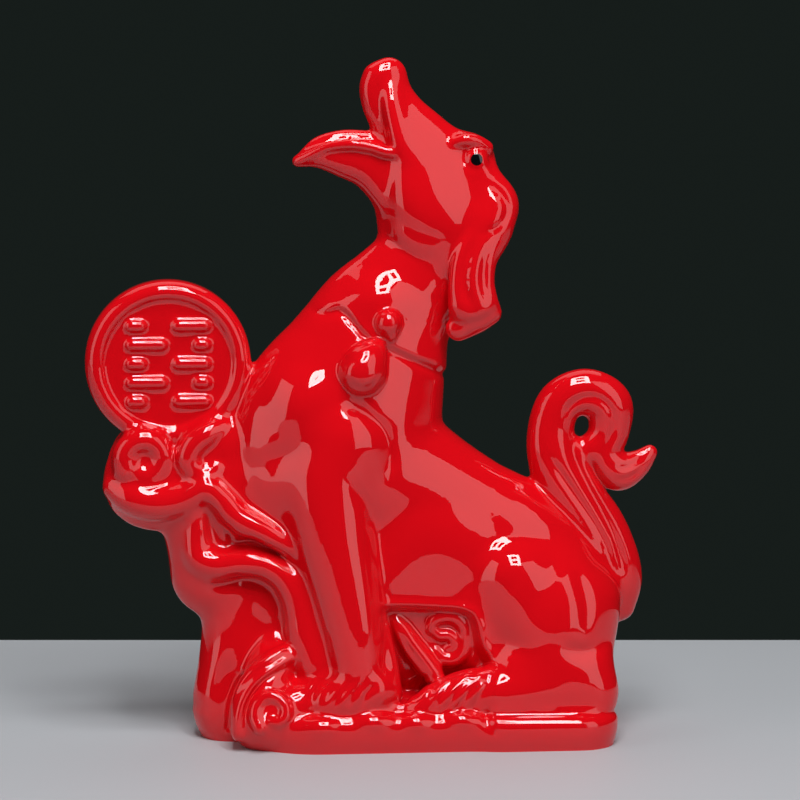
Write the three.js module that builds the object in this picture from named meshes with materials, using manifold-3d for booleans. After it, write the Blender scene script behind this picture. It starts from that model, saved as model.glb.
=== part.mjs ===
import * as THREE from 'three';
import { mergeVertices } from 'three/addons/utils/BufferGeometryUtils.js';
import Module from 'manifold-3d';

// A seated dog of the Chinese zodiac, howling at the sky beside a coin that stands on a cloud-scrolled
// rock. The whole figure is one glazed porcelain casting, so it is one solid.
// Millimetres. X runs along the dog from coin to tail, +Z is up and -Y is the side that faces the viewer.
// The origin is in the plane of the underside, at the middle of the footprint.

// Driving dimensions
const FIGURE_HEIGHT = 240; // underside to the tip of the nose
const PLINTH_LENGTH = 134;
const PLINTH_DEPTH = 76;
const PLINTH_HEIGHT = 13;
const PLINTH_COIN_CORNER = 30; // corner radii in plan
const PLINTH_TAIL_CORNER = 15;
const PLINTH_EDGE = 5; // rounding of the upper edge
const PLINTH_UNDERCUT = 1.8; // how far the side draws in towards the underside
const PLINTH_UNDERCUT_HEIGHT = 7;
const PLINTH_SET_IN = 1.8; // how far the side stands back from the coin's end to the hind toes
const PLINTH_STEP_X = 26;
const PLINTH_STEP_SOFTNESS = 4;
const BELLY_HALF_WIDTH = 22; // from the middle to the wall between the legs
const PANEL_DEPTH = 4; // of the panel in that wall
const COIN_DIAMETER = 58;
const COIN_THICKNESS = 16;
const COIN_RIM_WIDTH = 7.2;
const COIN_RECESS_DEPTH = 2.6;
const COIN_SOFTNESS = 4.5; // of the slope inside the rim
const STROKE_WIDTH = 4.3; // raised marks on the coin
const STROKE_HEIGHT = 2;
const STROKE_PITCH = 6.6; // from row to row
const STROKE_ROWS = 5;
const STROKE_ROW_LENGTH = 30;
const COLLAR_WIDTH = 15;
const COLLAR_THICKNESS = 1;
const COLLAR_GROOVE = 1.1;
const BELL_DIAMETER = 17.4;
const KNOB_DIAMETER = 9.8;
const GLAZE_FILLET = 2.4; // softness where one form meets another
const DETAIL = 1; // one unit of the other fillets, grooves and ridges

// Resolution of the faceted solid
const CELL = 1.5;
const FAR = 3 * CELL; // the distance to start from, before anything is modelled
const BELOW = 3 * CELL; // what is modelled below the underside and then cut off
const TRIANGLE_BUDGET = 9700;
const CHAIN_SAMPLES = 4; // links between two given points of a curve
const COIN_CARE = 12; // how much more closely the coin's marks are followed than the rest

// Free forms are given in hundredths of the figure's height: [x, y, z, radius]
const SHARE = FIGURE_HEIGHT / 100;
const PLINTH_CENTRE_X = 2.7 * SHARE;
// The coin stands on the crest of the cloud scrolls
const COIN_SEAT = new THREE.Vector3(-34.6, 0, 43.5).multiplyScalar(SHARE);
const COIN_CENTRE = new THREE.Vector3(COIN_SEAT.x, 0, COIN_SEAT.z + COIN_DIAMETER / 2);

const clamp01 = (t) => Math.min(1, Math.max(0, t));

function softMin(a, b, softness) {
  const overlap = Math.max(softness - Math.abs(a - b), 0) / softness;
  return Math.min(a, b) - (overlap * overlap * softness) / 4;
}

const softMax = (a, b, softness) => -softMin(-a, -b, softness);

// The sculpture is a list of steps. Each takes the distance so far at a point and gives a new one.
const steps = [];

function addStep(box, change) {
  steps.push({ box, change });
}

// The box round a set of discs, grown by a margin, on one side of the figure or on both
function boxRound(points, margin, bothSides) {
  const box = new THREE.Box3();
  for (const [x, y, z, radius] of points) {
    const reach = radius + margin;
    box.expandByPoint(new THREE.Vector3(x - reach, y - reach, z - reach));
    box.expandByPoint(new THREE.Vector3(x + reach, y + reach, z + reach));
  }
  if (bothSides) box.max.y = Math.max(box.max.y, -box.min.y);
  return box;
}

// A smooth chain of discs through a few given ones
function chainThrough(points) {
  const path = new THREE.CatmullRomCurve3(points.map(([x, y, z]) => new THREE.Vector3(x, y, z)));
  const radii = new THREE.CatmullRomCurve3(points.map((point) => new THREE.Vector3(point[3], 0, 0)));
  const count = CHAIN_SAMPLES * (points.length - 1);
  const chain = [];
  for (let i = 0; i <= count; i++) {
    const { x, y, z } = path.getPoint(i / count).multiplyScalar(SHARE);
    chain.push([x, y, z, Math.max(radii.getPoint(i / count).x, 0.05) * SHARE]);
  }
  return chain;
}

// The links of a chain, with their depths stretched so that an elliptic section becomes round
function linksOf(chain, flat) {
  return chain.slice(1).map(([x, y, z, radius], i) => {
    const [fromX, fromY, fromZ, fromRadius] = chain[i];
    const link = { x: fromX, y: fromY / flat, z: fromZ, radius: fromRadius, grow: radius - fromRadius };
    link.dx = x - fromX;
    link.dy = (y - fromY) / flat;
    link.dz = z - fromZ;
    link.square = link.dx ** 2 + link.dy ** 2 + link.dz ** 2;
    return link;
  });
}

// Distance to a chain whose section is an ellipse: flat is its depth over its height
function chainDistance(links, flat, x, y, z) {
  const stretched = y / flat;
  let best = Infinity;
  let slope = 1;
  for (let i = 0; i < links.length; i++) {
    const link = links[i];
    const px = x - link.x;
    const py = stretched - link.y;
    const pz = z - link.z;
    const along = clamp01((px * link.dx + py * link.dy + pz * link.dz) / link.square);
    const ex = px - link.dx * along;
    const ey = py - link.dy * along;
    const ez = pz - link.dz * along;
    const length = Math.sqrt(ex * ex + ey * ey + ez * ez);
    const distance = length - link.radius - link.grow * along;
    if (distance < best) {
      best = distance;
      slope = length > 1e-6 ? Math.sqrt(ex * ex + (ey * ey) / (flat * flat) + ez * ez) / length : 1;
    }
  }
  return best / slope;
}

const filletOf = ({ fillet }) => (fillet ? fillet * DETAIL : GLAZE_FILLET);

// Planes a form off softly on both sides, so that it is no wider than half (hundredths) either way
function flattened(distance, y, half) {
  return half ? softMax(distance, Math.abs(y) - half * SHARE, 2 * GLAZE_FILLET) : distance;
}

// A body, limb, roll or ridge swept along a curve, or a channel if carve is set
function limb(points, options = {}) {
  const { flat = 1, bothSides = true, carve = false, half = 0 } = options;
  const fillet = filletOf(options);
  const chain = chainThrough(points);
  const links = linksOf(chain, flat);
  const box = boxRound(chain, fillet + CELL, bothSides);
  addStep(box, (distance, x, y, z) => {
    const side = bothSides ? -Math.abs(y) : y;
    const own = flattened(chainDistance(links, flat, x, side, z), side, half);
    return carve ? softMax(distance, -own, fillet) : softMin(distance, own, fillet);
  });
}

// An egg-shaped swelling or hollow, turned by tilt degrees in the picture plane
function egg([cx, cy, cz], [rx, ry, rz], options = {}) {
  const { tilt = 0, bothSides = true, carve = false, half = 0 } = options;
  const fillet = filletOf(options);
  const centre = [cx * SHARE, cy * SHARE, cz * SHARE];
  const radii = [rx * SHARE, ry * SHARE, rz * SHARE];
  const cos = Math.cos(THREE.MathUtils.degToRad(tilt));
  const sin = Math.sin(THREE.MathUtils.degToRad(tilt));
  const box = boxRound([[...centre, Math.max(...radii)]], fillet + CELL, bothSides);
  addStep(box, (distance, x, y, z) => {
    const side = bothSides ? -Math.abs(y) : y;
    const dx = x - centre[0];
    const dz = z - centre[2];
    const u = (dx * cos + dz * sin) / radii[0];
    const v = (side - centre[1]) / radii[1];
    const w = (dz * cos - dx * sin) / radii[2];
    const size = Math.hypot(u, v, w);
    const grade = Math.hypot(u / radii[0], v / radii[1], w / radii[2]);
    const round = size < 1e-6 ? -Math.min(...radii) : (size * (size - 1)) / grade;
    const own = flattened(round, side, half);
    return carve ? softMax(distance, -own, fillet) : softMin(distance, own, fillet);
  });
}

// A groove (depth > 0) or a raised line (depth < 0) along a curve drawn on the figure's flank
function line(points, { depth, width, bothSides = true }) {
  const chain = chainThrough(points.map(([x, z, share = 1]) => [x, 0, z, share]));
  const links = linksOf(chain, 1);
  const spread = width * DETAIL;
  const box = boxRound(chain.map(([x, y, z]) => [x, y, z, 0]), spread * 2, false);
  box.min.y = -FIGURE_HEIGHT;
  box.max.y = bothSides ? FIGURE_HEIGHT : 0;
  addStep(box, (distance, x, y, z) => {
    let nearest = Infinity;
    let strength = 1;
    for (const link of links) {
      const along = clamp01(((x - link.x) * link.dx + (z - link.z) * link.dz) / link.square);
      const away = Math.hypot(x - link.x - link.dx * along, z - link.z - link.dz * along);
      if (away < nearest) {
        nearest = away;
        strength = (link.radius + link.grow * along) / SHARE;
      }
    }
    return distance + depth * DETAIL * strength * Math.exp(-((nearest / spread) ** 2));
  });
}

// Sets both flanks back by a depth inside an outline of [x, z] points
function terrace(outline, { depth, edge }) {
  const corners = outline.map(([x, z]) => [x * SHARE, 0, z * SHARE, 0]);
  const spread = edge * DETAIL;
  const box = boxRound(corners, 3 * spread, false);
  box.min.y = -FIGURE_HEIGHT;
  box.max.y = FIGURE_HEIGHT;
  addStep(box, (distance, x, y, z) => {
    let nearest = Infinity;
    let inside = false;
    corners.forEach(([fromX, , fromZ], i) => {
      const [toX, , toZ] = corners[(i + 1) % corners.length];
      const dx = toX - fromX;
      const dz = toZ - fromZ;
      const along = clamp01(((x - fromX) * dx + (z - fromZ) * dz) / (dx * dx + dz * dz));
      nearest = Math.min(nearest, Math.hypot(x - fromX - dx * along, z - fromZ - dz * along));
      if (fromZ > z !== toZ > z && x - fromX < ((z - fromZ) * dx) / dz) inside = !inside;
    });
    return distance + (depth * (1 - Math.tanh((inside ? -nearest : nearest) / spread))) / 2;
  });
}

// Trims both flanks to a plane through a point, within reach of it. Azimuth 0 is a plane that faces the
// viewer, and a positive one turns towards the tail.
function face([cx, cy, cz], { azimuth, elevation, reach, softness }) {
  const centre = new THREE.Vector3(cx, cy, cz).multiplyScalar(SHARE);
  const turn = THREE.MathUtils.degToRad(azimuth);
  const rise = THREE.MathUtils.degToRad(elevation);
  const flat = Math.cos(rise);
  const normal = new THREE.Vector3(Math.sin(turn) * flat, -Math.cos(turn) * flat, Math.sin(rise));
  const box = boxRound([[...centre, reach * SHARE]], 0, true);
  addStep(box, (distance, x, y, z) => {
    const dx = x - centre.x;
    const dy = -Math.abs(y) - centre.y;
    const dz = z - centre.z;
    return softMax(distance, dx * normal.x + dy * normal.y + dz * normal.z, softness * DETAIL);
  });
}

// Points of a spiral in the picture plane, from its outer end inwards
function spiral([cx, y, cz], { from, turn, outer, inner, radius, tip = radius, count = 9 }) {
  const points = [];
  for (let i = 0; i <= count; i++) {
    const t = i / count;
    const angle = THREE.MathUtils.degToRad(from + turn * t);
    const reach = outer + (inner - outer) * t;
    const thickness = radius + (tip - radius) * t;
    points.push([cx + reach * Math.cos(angle), y, cz + reach * Math.sin(angle), thickness]);
  }
  return points;
}

// Distance to a corner between two faces rounded off by a radius, with a and b measured from the arc
function roundedCorner(a, b, radius) {
  return Math.hypot(Math.max(a, 0), Math.max(b, 0)) + Math.min(Math.max(a, b), 0) - radius;
}

// The plinth, which runs on below the underside until it is cut off flat
function plinth() {
  const box = new THREE.Box3(
    new THREE.Vector3(PLINTH_CENTRE_X - PLINTH_LENGTH, -PLINTH_DEPTH, -BELOW),
    new THREE.Vector3(PLINTH_CENTRE_X + PLINTH_LENGTH, PLINTH_DEPTH, PLINTH_HEIGHT + 2 * GLAZE_FILLET),
  );
  const skirt = PLINTH_EDGE + DETAIL; // how far in from the side the underside rises
  addStep(box, (distance, x, y, z) => {
    const corner = x < PLINTH_CENTRE_X ? PLINTH_COIN_CORNER : PLINTH_TAIL_CORNER;
    const setIn = (PLINTH_SET_IN * (1 - Math.tanh((x - PLINTH_STEP_X) / PLINTH_STEP_SOFTNESS))) / 2;
    const qx = Math.abs(x - PLINTH_CENTRE_X) - PLINTH_LENGTH / 2 + corner;
    const qy = Math.abs(y) - PLINTH_DEPTH / 2 + setIn + corner;
    const plan = roundedCorner(qx, qy, corner);
    const roll = roundedCorner(plan + PLINTH_EDGE, z - PLINTH_HEIGHT + PLINTH_EDGE, PLINTH_EDGE);
    const foot = PLINTH_UNDERCUT * clamp01(1 - z / PLINTH_UNDERCUT_HEIGHT) ** 2;
    return softMin(distance, roll + foot * clamp01(1 + plan / skirt), GLAZE_FILLET);
  });
  // the roll ends in a crease, and low humps follow it
  line([[11.4, 7, 0.4], [10.8, 5.6], [10.9, 4.2], [11.6, 3, 0.3]], { depth: 1.3, width: 1.5 });
  for (const [x, z, radius] of [[7.4, 4.5, 2.6], [0.6, 4.2, 2.2], [-5.6, 4.5, 2.8], [-13, 3.8, 2.6]]) {
    egg([x, -13.3, z], [radius, 2, 1.4]);
  }
}

function trunk() {
  limb([[4.8, 0, 74, 7], [2.2, 0, 68.6, 7.8], [-3.5, 0, 60.5, 10.1], [-7, 0, 52.5, 12.9],
    [-10, 0, 45.3, 15.4], [-10.7, 0, 40, 15.2]], { flat: 0.64, fillet: 2.5 });
  limb([[-0.2, 0, 79, 4], [0.1, 0, 75.5, 4], [1.9, 0, 71, 4]], { flat: 0.8, fillet: 3 });
  limb([[-9.6, 0, 41.8, 14], [-0.9, 0, 35.8, 12.2], [7.7, 0, 30.4, 11.5], [15.4, 0, 25, 12.4],
    [21.3, 0, 19.4, 11]], { flat: 0.7, fillet: 2 });
  // the ruff of the neck, and the breast that swells above the forelegs
  egg([-3.6, -3.2, 64.4], [4.4, 3.4, 3.6], { fillet: 5 });
  egg([-14.4, -3.4, 49.4], [6.2, 6.2, 6.6], { fillet: 4 });
  line([[-20.6, 41, 0.3], [-18.3, 42.3], [-15.9, 42.9], [-13.9, 42.6, 0.8], [-12.2, 41.8, 0.2]],
    { depth: 1.6, width: 4 });
}

// A raised band round the neck, its lower edge set off by a groove and its upper edge fading into the fur
function collar() {
  const normal = new THREE.Vector3(0.437, 0, 0.9);
  const middle = new THREE.Vector3(-2, 0, 61.5).multiplyScalar(SHARE);
  const lowerEdge = 51.2 * SHARE;
  const lowest = -9.4 * SHARE; // where the band hangs lowest, under the bell
  const sagWidth = 2.2 * SHARE;
  const reach = 16 * SHARE;
  const box = new THREE.Box3(middle.clone().subScalar(reach), middle.clone().addScalar(reach));
  addStep(box, (distance, x, y, z) => {
    const sag = 1.9 * SHARE * Math.exp(-(((x - lowest) / sagWidth) ** 2));
    const along = x * normal.x + z * normal.z - lowerEdge - sag;
    const shown = clamp01((x / SHARE + 14) / 3) * Math.max(clamp01((9 - x / SHARE) / 4), 0.25);
    const fade = shown * clamp01(1 - along / (1.4 * COLLAR_WIDTH));
    const step = (1 + Math.tanh(along / (0.7 * DETAIL))) / 2;
    const groove = COLLAR_GROOVE * shown * Math.exp(-(((along + DETAIL) / (1.2 * DETAIL)) ** 2));
    return distance + groove - COLLAR_THICKNESS * fade * step;
  });
}

function head() {
  limb([[6.1, 0, 73.5, 6.8], [5.3, 0, 79.5, 8.6], [2.4, 0, 86.4, 5.6], [-0.3, 0, 91.2, 3.7],
    [-1.6, 0, 94.5, 2.8], [-2.2, 0, 97.2, 2.6]], { flat: 0.9, fillet: 3, half: 6 });
  // the palate is a narrower body behind the ridge of the muzzle
  limb([[-4.2, 0, 97, 1.9], [-4.6, 0, 95.4, 1.95], [-4.3, 0, 93, 1.9], [-3.3, 0, 90, 1.7],
    [-2.8, 0, 87.6, 1.6]], { fillet: 2.6 });
  // the cheek, and the ridge of the lip: the face falls back from it in one plane
  egg([4.6, -2.6, 79.2], [6.8, 4, 7], { fillet: 3 });
  limb([[-1.9, -1.7, 95.4, 1.1], [-1.7, -2.6, 93.5, 1.5], [-1.1, -3.3, 90.6, 1.7], [-0.2, -3.6, 87.6, 1.9],
    [1.6, -3.4, 84.6, 1.8]], { fillet: 3 });
  egg([9.2, 0, 84.9], [4.1, 4.6, 4], { fillet: 3 });
  face([7.7, -4.6, 81.7], { azimuth: 15, elevation: 16, reach: 19, softness: 4 });
  limb([[1, 0, 80.2, 5.4], [-4.5, 0, 84.1, 3.8], [-8.6, 0, 85.1, 2.8], [-12.6, 0, 85.6, 1.8],
    [-15.4, 0, 84.8, 0.9]], { flat: 1.1, half: 3.6 });
  // the tongue, and the lips beside it
  limb([[-2.4, 0, 87.6, 1.3], [-5.5, 0, 88, 1.2], [-9, 0, 88.1, 1.2], [-12.6, 0, 87.3, 1],
    [-14.5, 0, 86.1, 0.6]], { fillet: 1 });
  limb([[-1, -3.9, 86, 0.5], [-2.8, -3.8, 86.2, 0.8], [-5, -3.4, 86.9, 0.8], [-8, -3, 87.3, 0.8],
    [-11.6, -2.2, 86.8, 0.7], [-13.6, -1.5, 85.8, 0.7], [-15.7, -0.5, 84.8, 0.6]], { fillet: 1.2 });
  // the roll under the cheek along the lower jaw
  limb([[-1.2, -1.2, 77, 1.4], [-0.2, -2.6, 75.1, 2], [1.8, -3, 73.4, 2.4], [4.2, -3, 72.9, 2.4],
    [6.6, -2.8, 73.6, 2.2], [8.4, -2.6, 75.4, 1.6]], { fillet: 2.4 });
  // the brow, the eye's hollow, the eyeball and its lower lid
  limb([[7.2, -3, 87.6, 0.7], [8.6, -3.1, 87.9, 1], [10.2, -2.8, 87.6, 1.1], [11.8, -2.1, 86.7, 1.1]],
    { fillet: 2 });
  egg([10.3, -4.6, 85.1], [2.5, 1.5, 2.2], { fillet: 2, carve: true });
  egg([10.2, -3, 85.1], [1.7, 1.2, 1.7], { fillet: 0.5 });
  limb([[8.3, -3.4, 83.9, 0.4], [9.7, -3.4, 82.9, 0.5], [11.4, -3.2, 83.1, 0.4]], { fillet: 1.2 });
}

function ears() {
  limb([[11.4, -1.8, 82.2, 2.2], [13.3, -2.7, 78.6, 3.2], [12.5, -3.6, 75.8, 3.2]], { flat: 0.8, fillet: 5 });
  limb([[12.9, -3.5, 76.8, 2.8], [12.2, -4, 74.8, 3.2], [9.9, -5.2, 71, 3.3], [9.3, -5.8, 67.2, 3.4],
    [9.5, -6, 64.3, 3.7]], { flat: 0.62, fillet: 1.6 });
  limb([[12.1, -5.6, 62.9, 1.7], [9.8, -5.6, 61.7, 1.9], [7.5, -5.4, 60.8, 2]], { flat: 0.7, fillet: 2.4 });
  // the ear's root, its folds, and the facet along its lower end
  line([[12.1, 81.6, 0.3], [13.6, 80.2], [14.5, 78.5], [14.2, 76.7], [12.9, 75.3], [11, 74.2, 0.2]],
    { depth: 0.9, width: 1.3 });
  line([[10.2, 74.4, 0.2], [8.9, 71.8], [8.1, 69], [8.2, 66.2], [9.2, 63.8, 0.3]],
    { depth: 1.4, width: 1.9 });
  line([[11.6, 73, 0.2], [11, 70], [10.9, 67], [11.6, 64.4, 0.3]], { depth: 1.1, width: 1.6 });
  line([[5.6, 61.8, 0.4], [8, 61.5], [10.8, 62.2], [13, 63.6, 0.4]], { depth: 0.7, width: 1.2 });
}

function bells() {
  const wide = BELL_DIAMETER / 2 / SHARE;
  const knob = KNOB_DIAMETER / 2 / SHARE;
  egg([-6.9, -8.1, 54.6], [wide, wide * 0.95, wide], { fillet: 0.7, bothSides: false });
  limb([[-6.4, -8, 55.8, 3.2], [-5.4, -7.8, 57.2, 2.2], [-4.4, -7.3, 58.6, 1.1]],
    { fillet: 1, bothSides: false });
  egg([-2.9, -7.1, 61.7], [knob, knob, knob], { fillet: 0.7, bothSides: false });
  egg([-2.5, -7.6, 59.9], [0.9, 0.9, 0.7], { fillet: 0.6, bothSides: false });
}

function frontLegs() {
  limb([[-9.9, -5.4, 43.8, 7], [-11.4, -6.1, 38.4, 6.8], [-10.8, -7.6, 31, 5.8], [-9.4, -8.9, 24, 4.9],
    [-8.2, -9.9, 17.6, 4.3], [-7.6, -10.7, 12, 3.7]], { flat: 0.85, fillet: 4 });
  limb([[-5.2, -8.4, 23, 1], [-4.2, -9, 17, 1.4], [-3.4, -9.8, 12, 1.7], [-3, -10.6, 8, 1.9]],
    { fillet: 1.8 });
  line([[-9.5, 50.6, 0.2], [-8.1, 50], [-6.7, 49.2], [-5.3, 48], [-4.1, 46.8], [-3.4, 45.5], [-2.9, 43.7],
    [-2.8, 41.8], [-3, 39.6, 0.2]], { depth: 1.3, width: 2.2 });
  line([[-8.5, 39.3, 0.3], [-7.4, 37.3], [-6.2, 35.2], [-5.8, 33.4], [-5.7, 31.7, 0.3]],
    { depth: 1, width: 2 });
  line([[-6.4, 31.1, 0.2], [-5.8, 26.3], [-5.4, 21.9], [-5.1, 17.6], [-4.9, 13, 0.2]],
    { depth: 0.8, width: 1.3 });
  // the paw, low and broad
  limb([[-5.6, -10.8, 8.6, 3.5], [-9, -11.2, 8, 3.6], [-11.8, -11.2, 7.2, 3]], { flat: 0.95, fillet: 2.6 });
  limb([[-9, -8.6, 11.4, 2.4], [-11.6, -9.4, 10, 2.2], [-14, -10.4, 8.4, 1.8], [-15.2, -11, 6.8, 1.4]],
    { fillet: 2 });
}

function hindLegs() {
  egg([20.9, -5.4, 20.4], [9.2, 6.6, 8.2], { tilt: -20, fillet: 7 });
  egg([17.2, -5.6, 23.8], [4.4, 5.4, 5], { tilt: -30, fillet: 5 });
  limb([[15, -7.8, 24.6, 4.4], [17.2, -8.6, 19.4, 4.3], [20.2, -8.9, 14.8, 4.6], [24, -8.6, 11.6, 4.6]],
    { flat: 0.9, fillet: 6 });
  egg([22.6, -7, 17], [6.6, 5.9, 8], { fillet: 6 });
  limb([[26.4, -4.6, 20, 5.2], [26.4, -6, 15, 4.2], [26, -8, 10.6, 3.4], [26.6, -9, 7.4, 3.4]],
    { fillet: 4 });
  limb([[26.8, -9.8, 7.6, 3.4], [22, -10.2, 8, 3.6], [17, -10.6, 8, 3.4], [12.6, -10.8, 7.6, 3.1]],
    { flat: 1.1, fillet: 6 });
  limb([[15.6, -9.4, 11, 3.2], [20.4, -9.7, 11.6, 3.6], [25.4, -9.2, 11, 3.8]], { fillet: 6 });
  // a shallow fold in the haunch, the hock, and the toes
  line([[24, 26, 0.2], [25, 23.4], [25.6, 20.4], [25.4, 17, 0.2]], { depth: 1, width: 2.6 });
  line([[21.8, 15.2, 0.2], [23.6, 14.3], [25.6, 14], [28, 14.4, 0.3]], { depth: 1.2, width: 2.6 });
  limb([[12.4, -10.4, 8.6, 3.1], [8.4, -10.8, 8.2, 3.2], [4.6, -11.2, 7.4, 2.8], [1.4, -11.6, 6.4, 2]],
    { flat: 1.05, fillet: 2.4 });
  line([[11.8, 11, 0.2], [10.8, 9.2], [9.4, 7.6], [8.8, 6.2, 0.4]], { depth: 1, width: 1.2 });
}

function tail() {
  limb([[32.2, 0, 18.5, 2.4], [31.8, 0, 22.6, 3.8], [29.7, 0, 27.6, 4.6], [26.3, 0, 33.6, 4.7],
    [22.9, 0, 39.7, 4.3], [21.8, 0, 44.9, 3.5], [23.3, 0, 49.1, 3.4], [26.9, 0, 50.5, 3.5],
    [30.3, 0, 48.6, 3.6], [30.5, 0, 44.8, 3.1], [29.6, 0, 41.4, 2.9], [31.8, 0, 38.7, 3],
    [34.6, 0, 39.6, 2.1], [36.6, 0, 41.4, 1.2]], { flat: 0.8 });
  limb([[25.4, 0, 41.2, 2.2], [28, 0, 42, 2.4]], { flat: 0.8 });
  // the parting of the hair
  line([[24.4, 44.4, 0.3], [24.8, 41.4], [26.6, 37.4], [28.8, 33.4], [30.8, 29.4], [32, 26],
    [32.6, 22.8, 0.2]], { depth: 1.5, width: 1.7 });
  line([[21.4, 41.2, 0.2], [23, 38.6], [25.6, 34.8], [27.9, 31.4], [29.8, 27.8], [30.9, 24, 0.2]],
    { depth: 1.4, width: 1.5 });
  line([[27.6, 40.6, 0.3], [28.4, 38.4], [29.8, 35.8], [31.4, 32.8, 0.2]], { depth: 1, width: 1.3 });
  line([[23.6, 47, 0.2], [24.2, 48.6], [25.8, 49.8], [28, 50], [29.8, 48.9], [30.8, 46.8], [30.6, 44.4],
    [29.6, 42, 0.2]], { depth: 1, width: 1.2 });
  line([[13.5, 38, 0.2], [17.5, 36.6], [22, 33.6], [25.8, 29.8, 0.2]], { depth: 0.7, width: 1.8 });
}

function coin() {
  const radius = COIN_DIAMETER / 2;
  const half = COIN_THICKNESS / 2;
  const edge = half * 0.7;
  const around = new THREE.Vector3(radius, half, radius).addScalar(4 * DETAIL);
  const box = new THREE.Box3(COIN_CENTRE.clone().sub(around), COIN_CENTRE.clone().add(around));
  addStep(box, (distance, x, y, z) => {
    const away = Math.hypot(x - COIN_CENTRE.x, z - COIN_CENTRE.z);
    let own = roundedCorner(away - radius + edge, Math.abs(y) - half + edge, edge);
    const slope = (away - radius + COIN_RIM_WIDTH) * 0.7;
    const dish = Math.max(slope, half - COIN_RECESS_DEPTH - Math.abs(y));
    own = softMax(own, -dish, COIN_SOFTNESS);
    const strokes = strokesDistance(x - COIN_CENTRE.x, y + half - COIN_RECESS_DEPTH, z - COIN_CENTRE.z);
    own = softMin(own, strokes, 1.2 * DETAIL);
    return softMin(distance, own, GLAZE_FILLET);
  });
}

// Raised marks in rows on the coin's face: bars of uneven length with a gap that moves from row to row
function strokesDistance(x, y, z) {
  let best = Infinity;
  const radius = STROKE_WIDTH / 2;
  for (let row = 0; row < STROKE_ROWS; row++) {
    const height = (row - (STROKE_ROWS - 1) / 2) * STROKE_PITCH;
    const gap = STROKE_ROW_LENGTH * (row % 2 ? 0.14 : -0.1);
    const bars = [
      [-STROKE_ROW_LENGTH / 2, gap - STROKE_WIDTH],
      [gap + STROKE_WIDTH, STROKE_ROW_LENGTH / 2],
    ];
    for (const [from, to] of bars) {
      const past = Math.max(from + radius - x, x - to + radius, 0);
      const lift = (y * radius) / STROKE_HEIGHT;
      best = Math.min(best, (Math.hypot(past, lift, z - height) - radius) * 0.8);
    }
  }
  return best;
}

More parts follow.
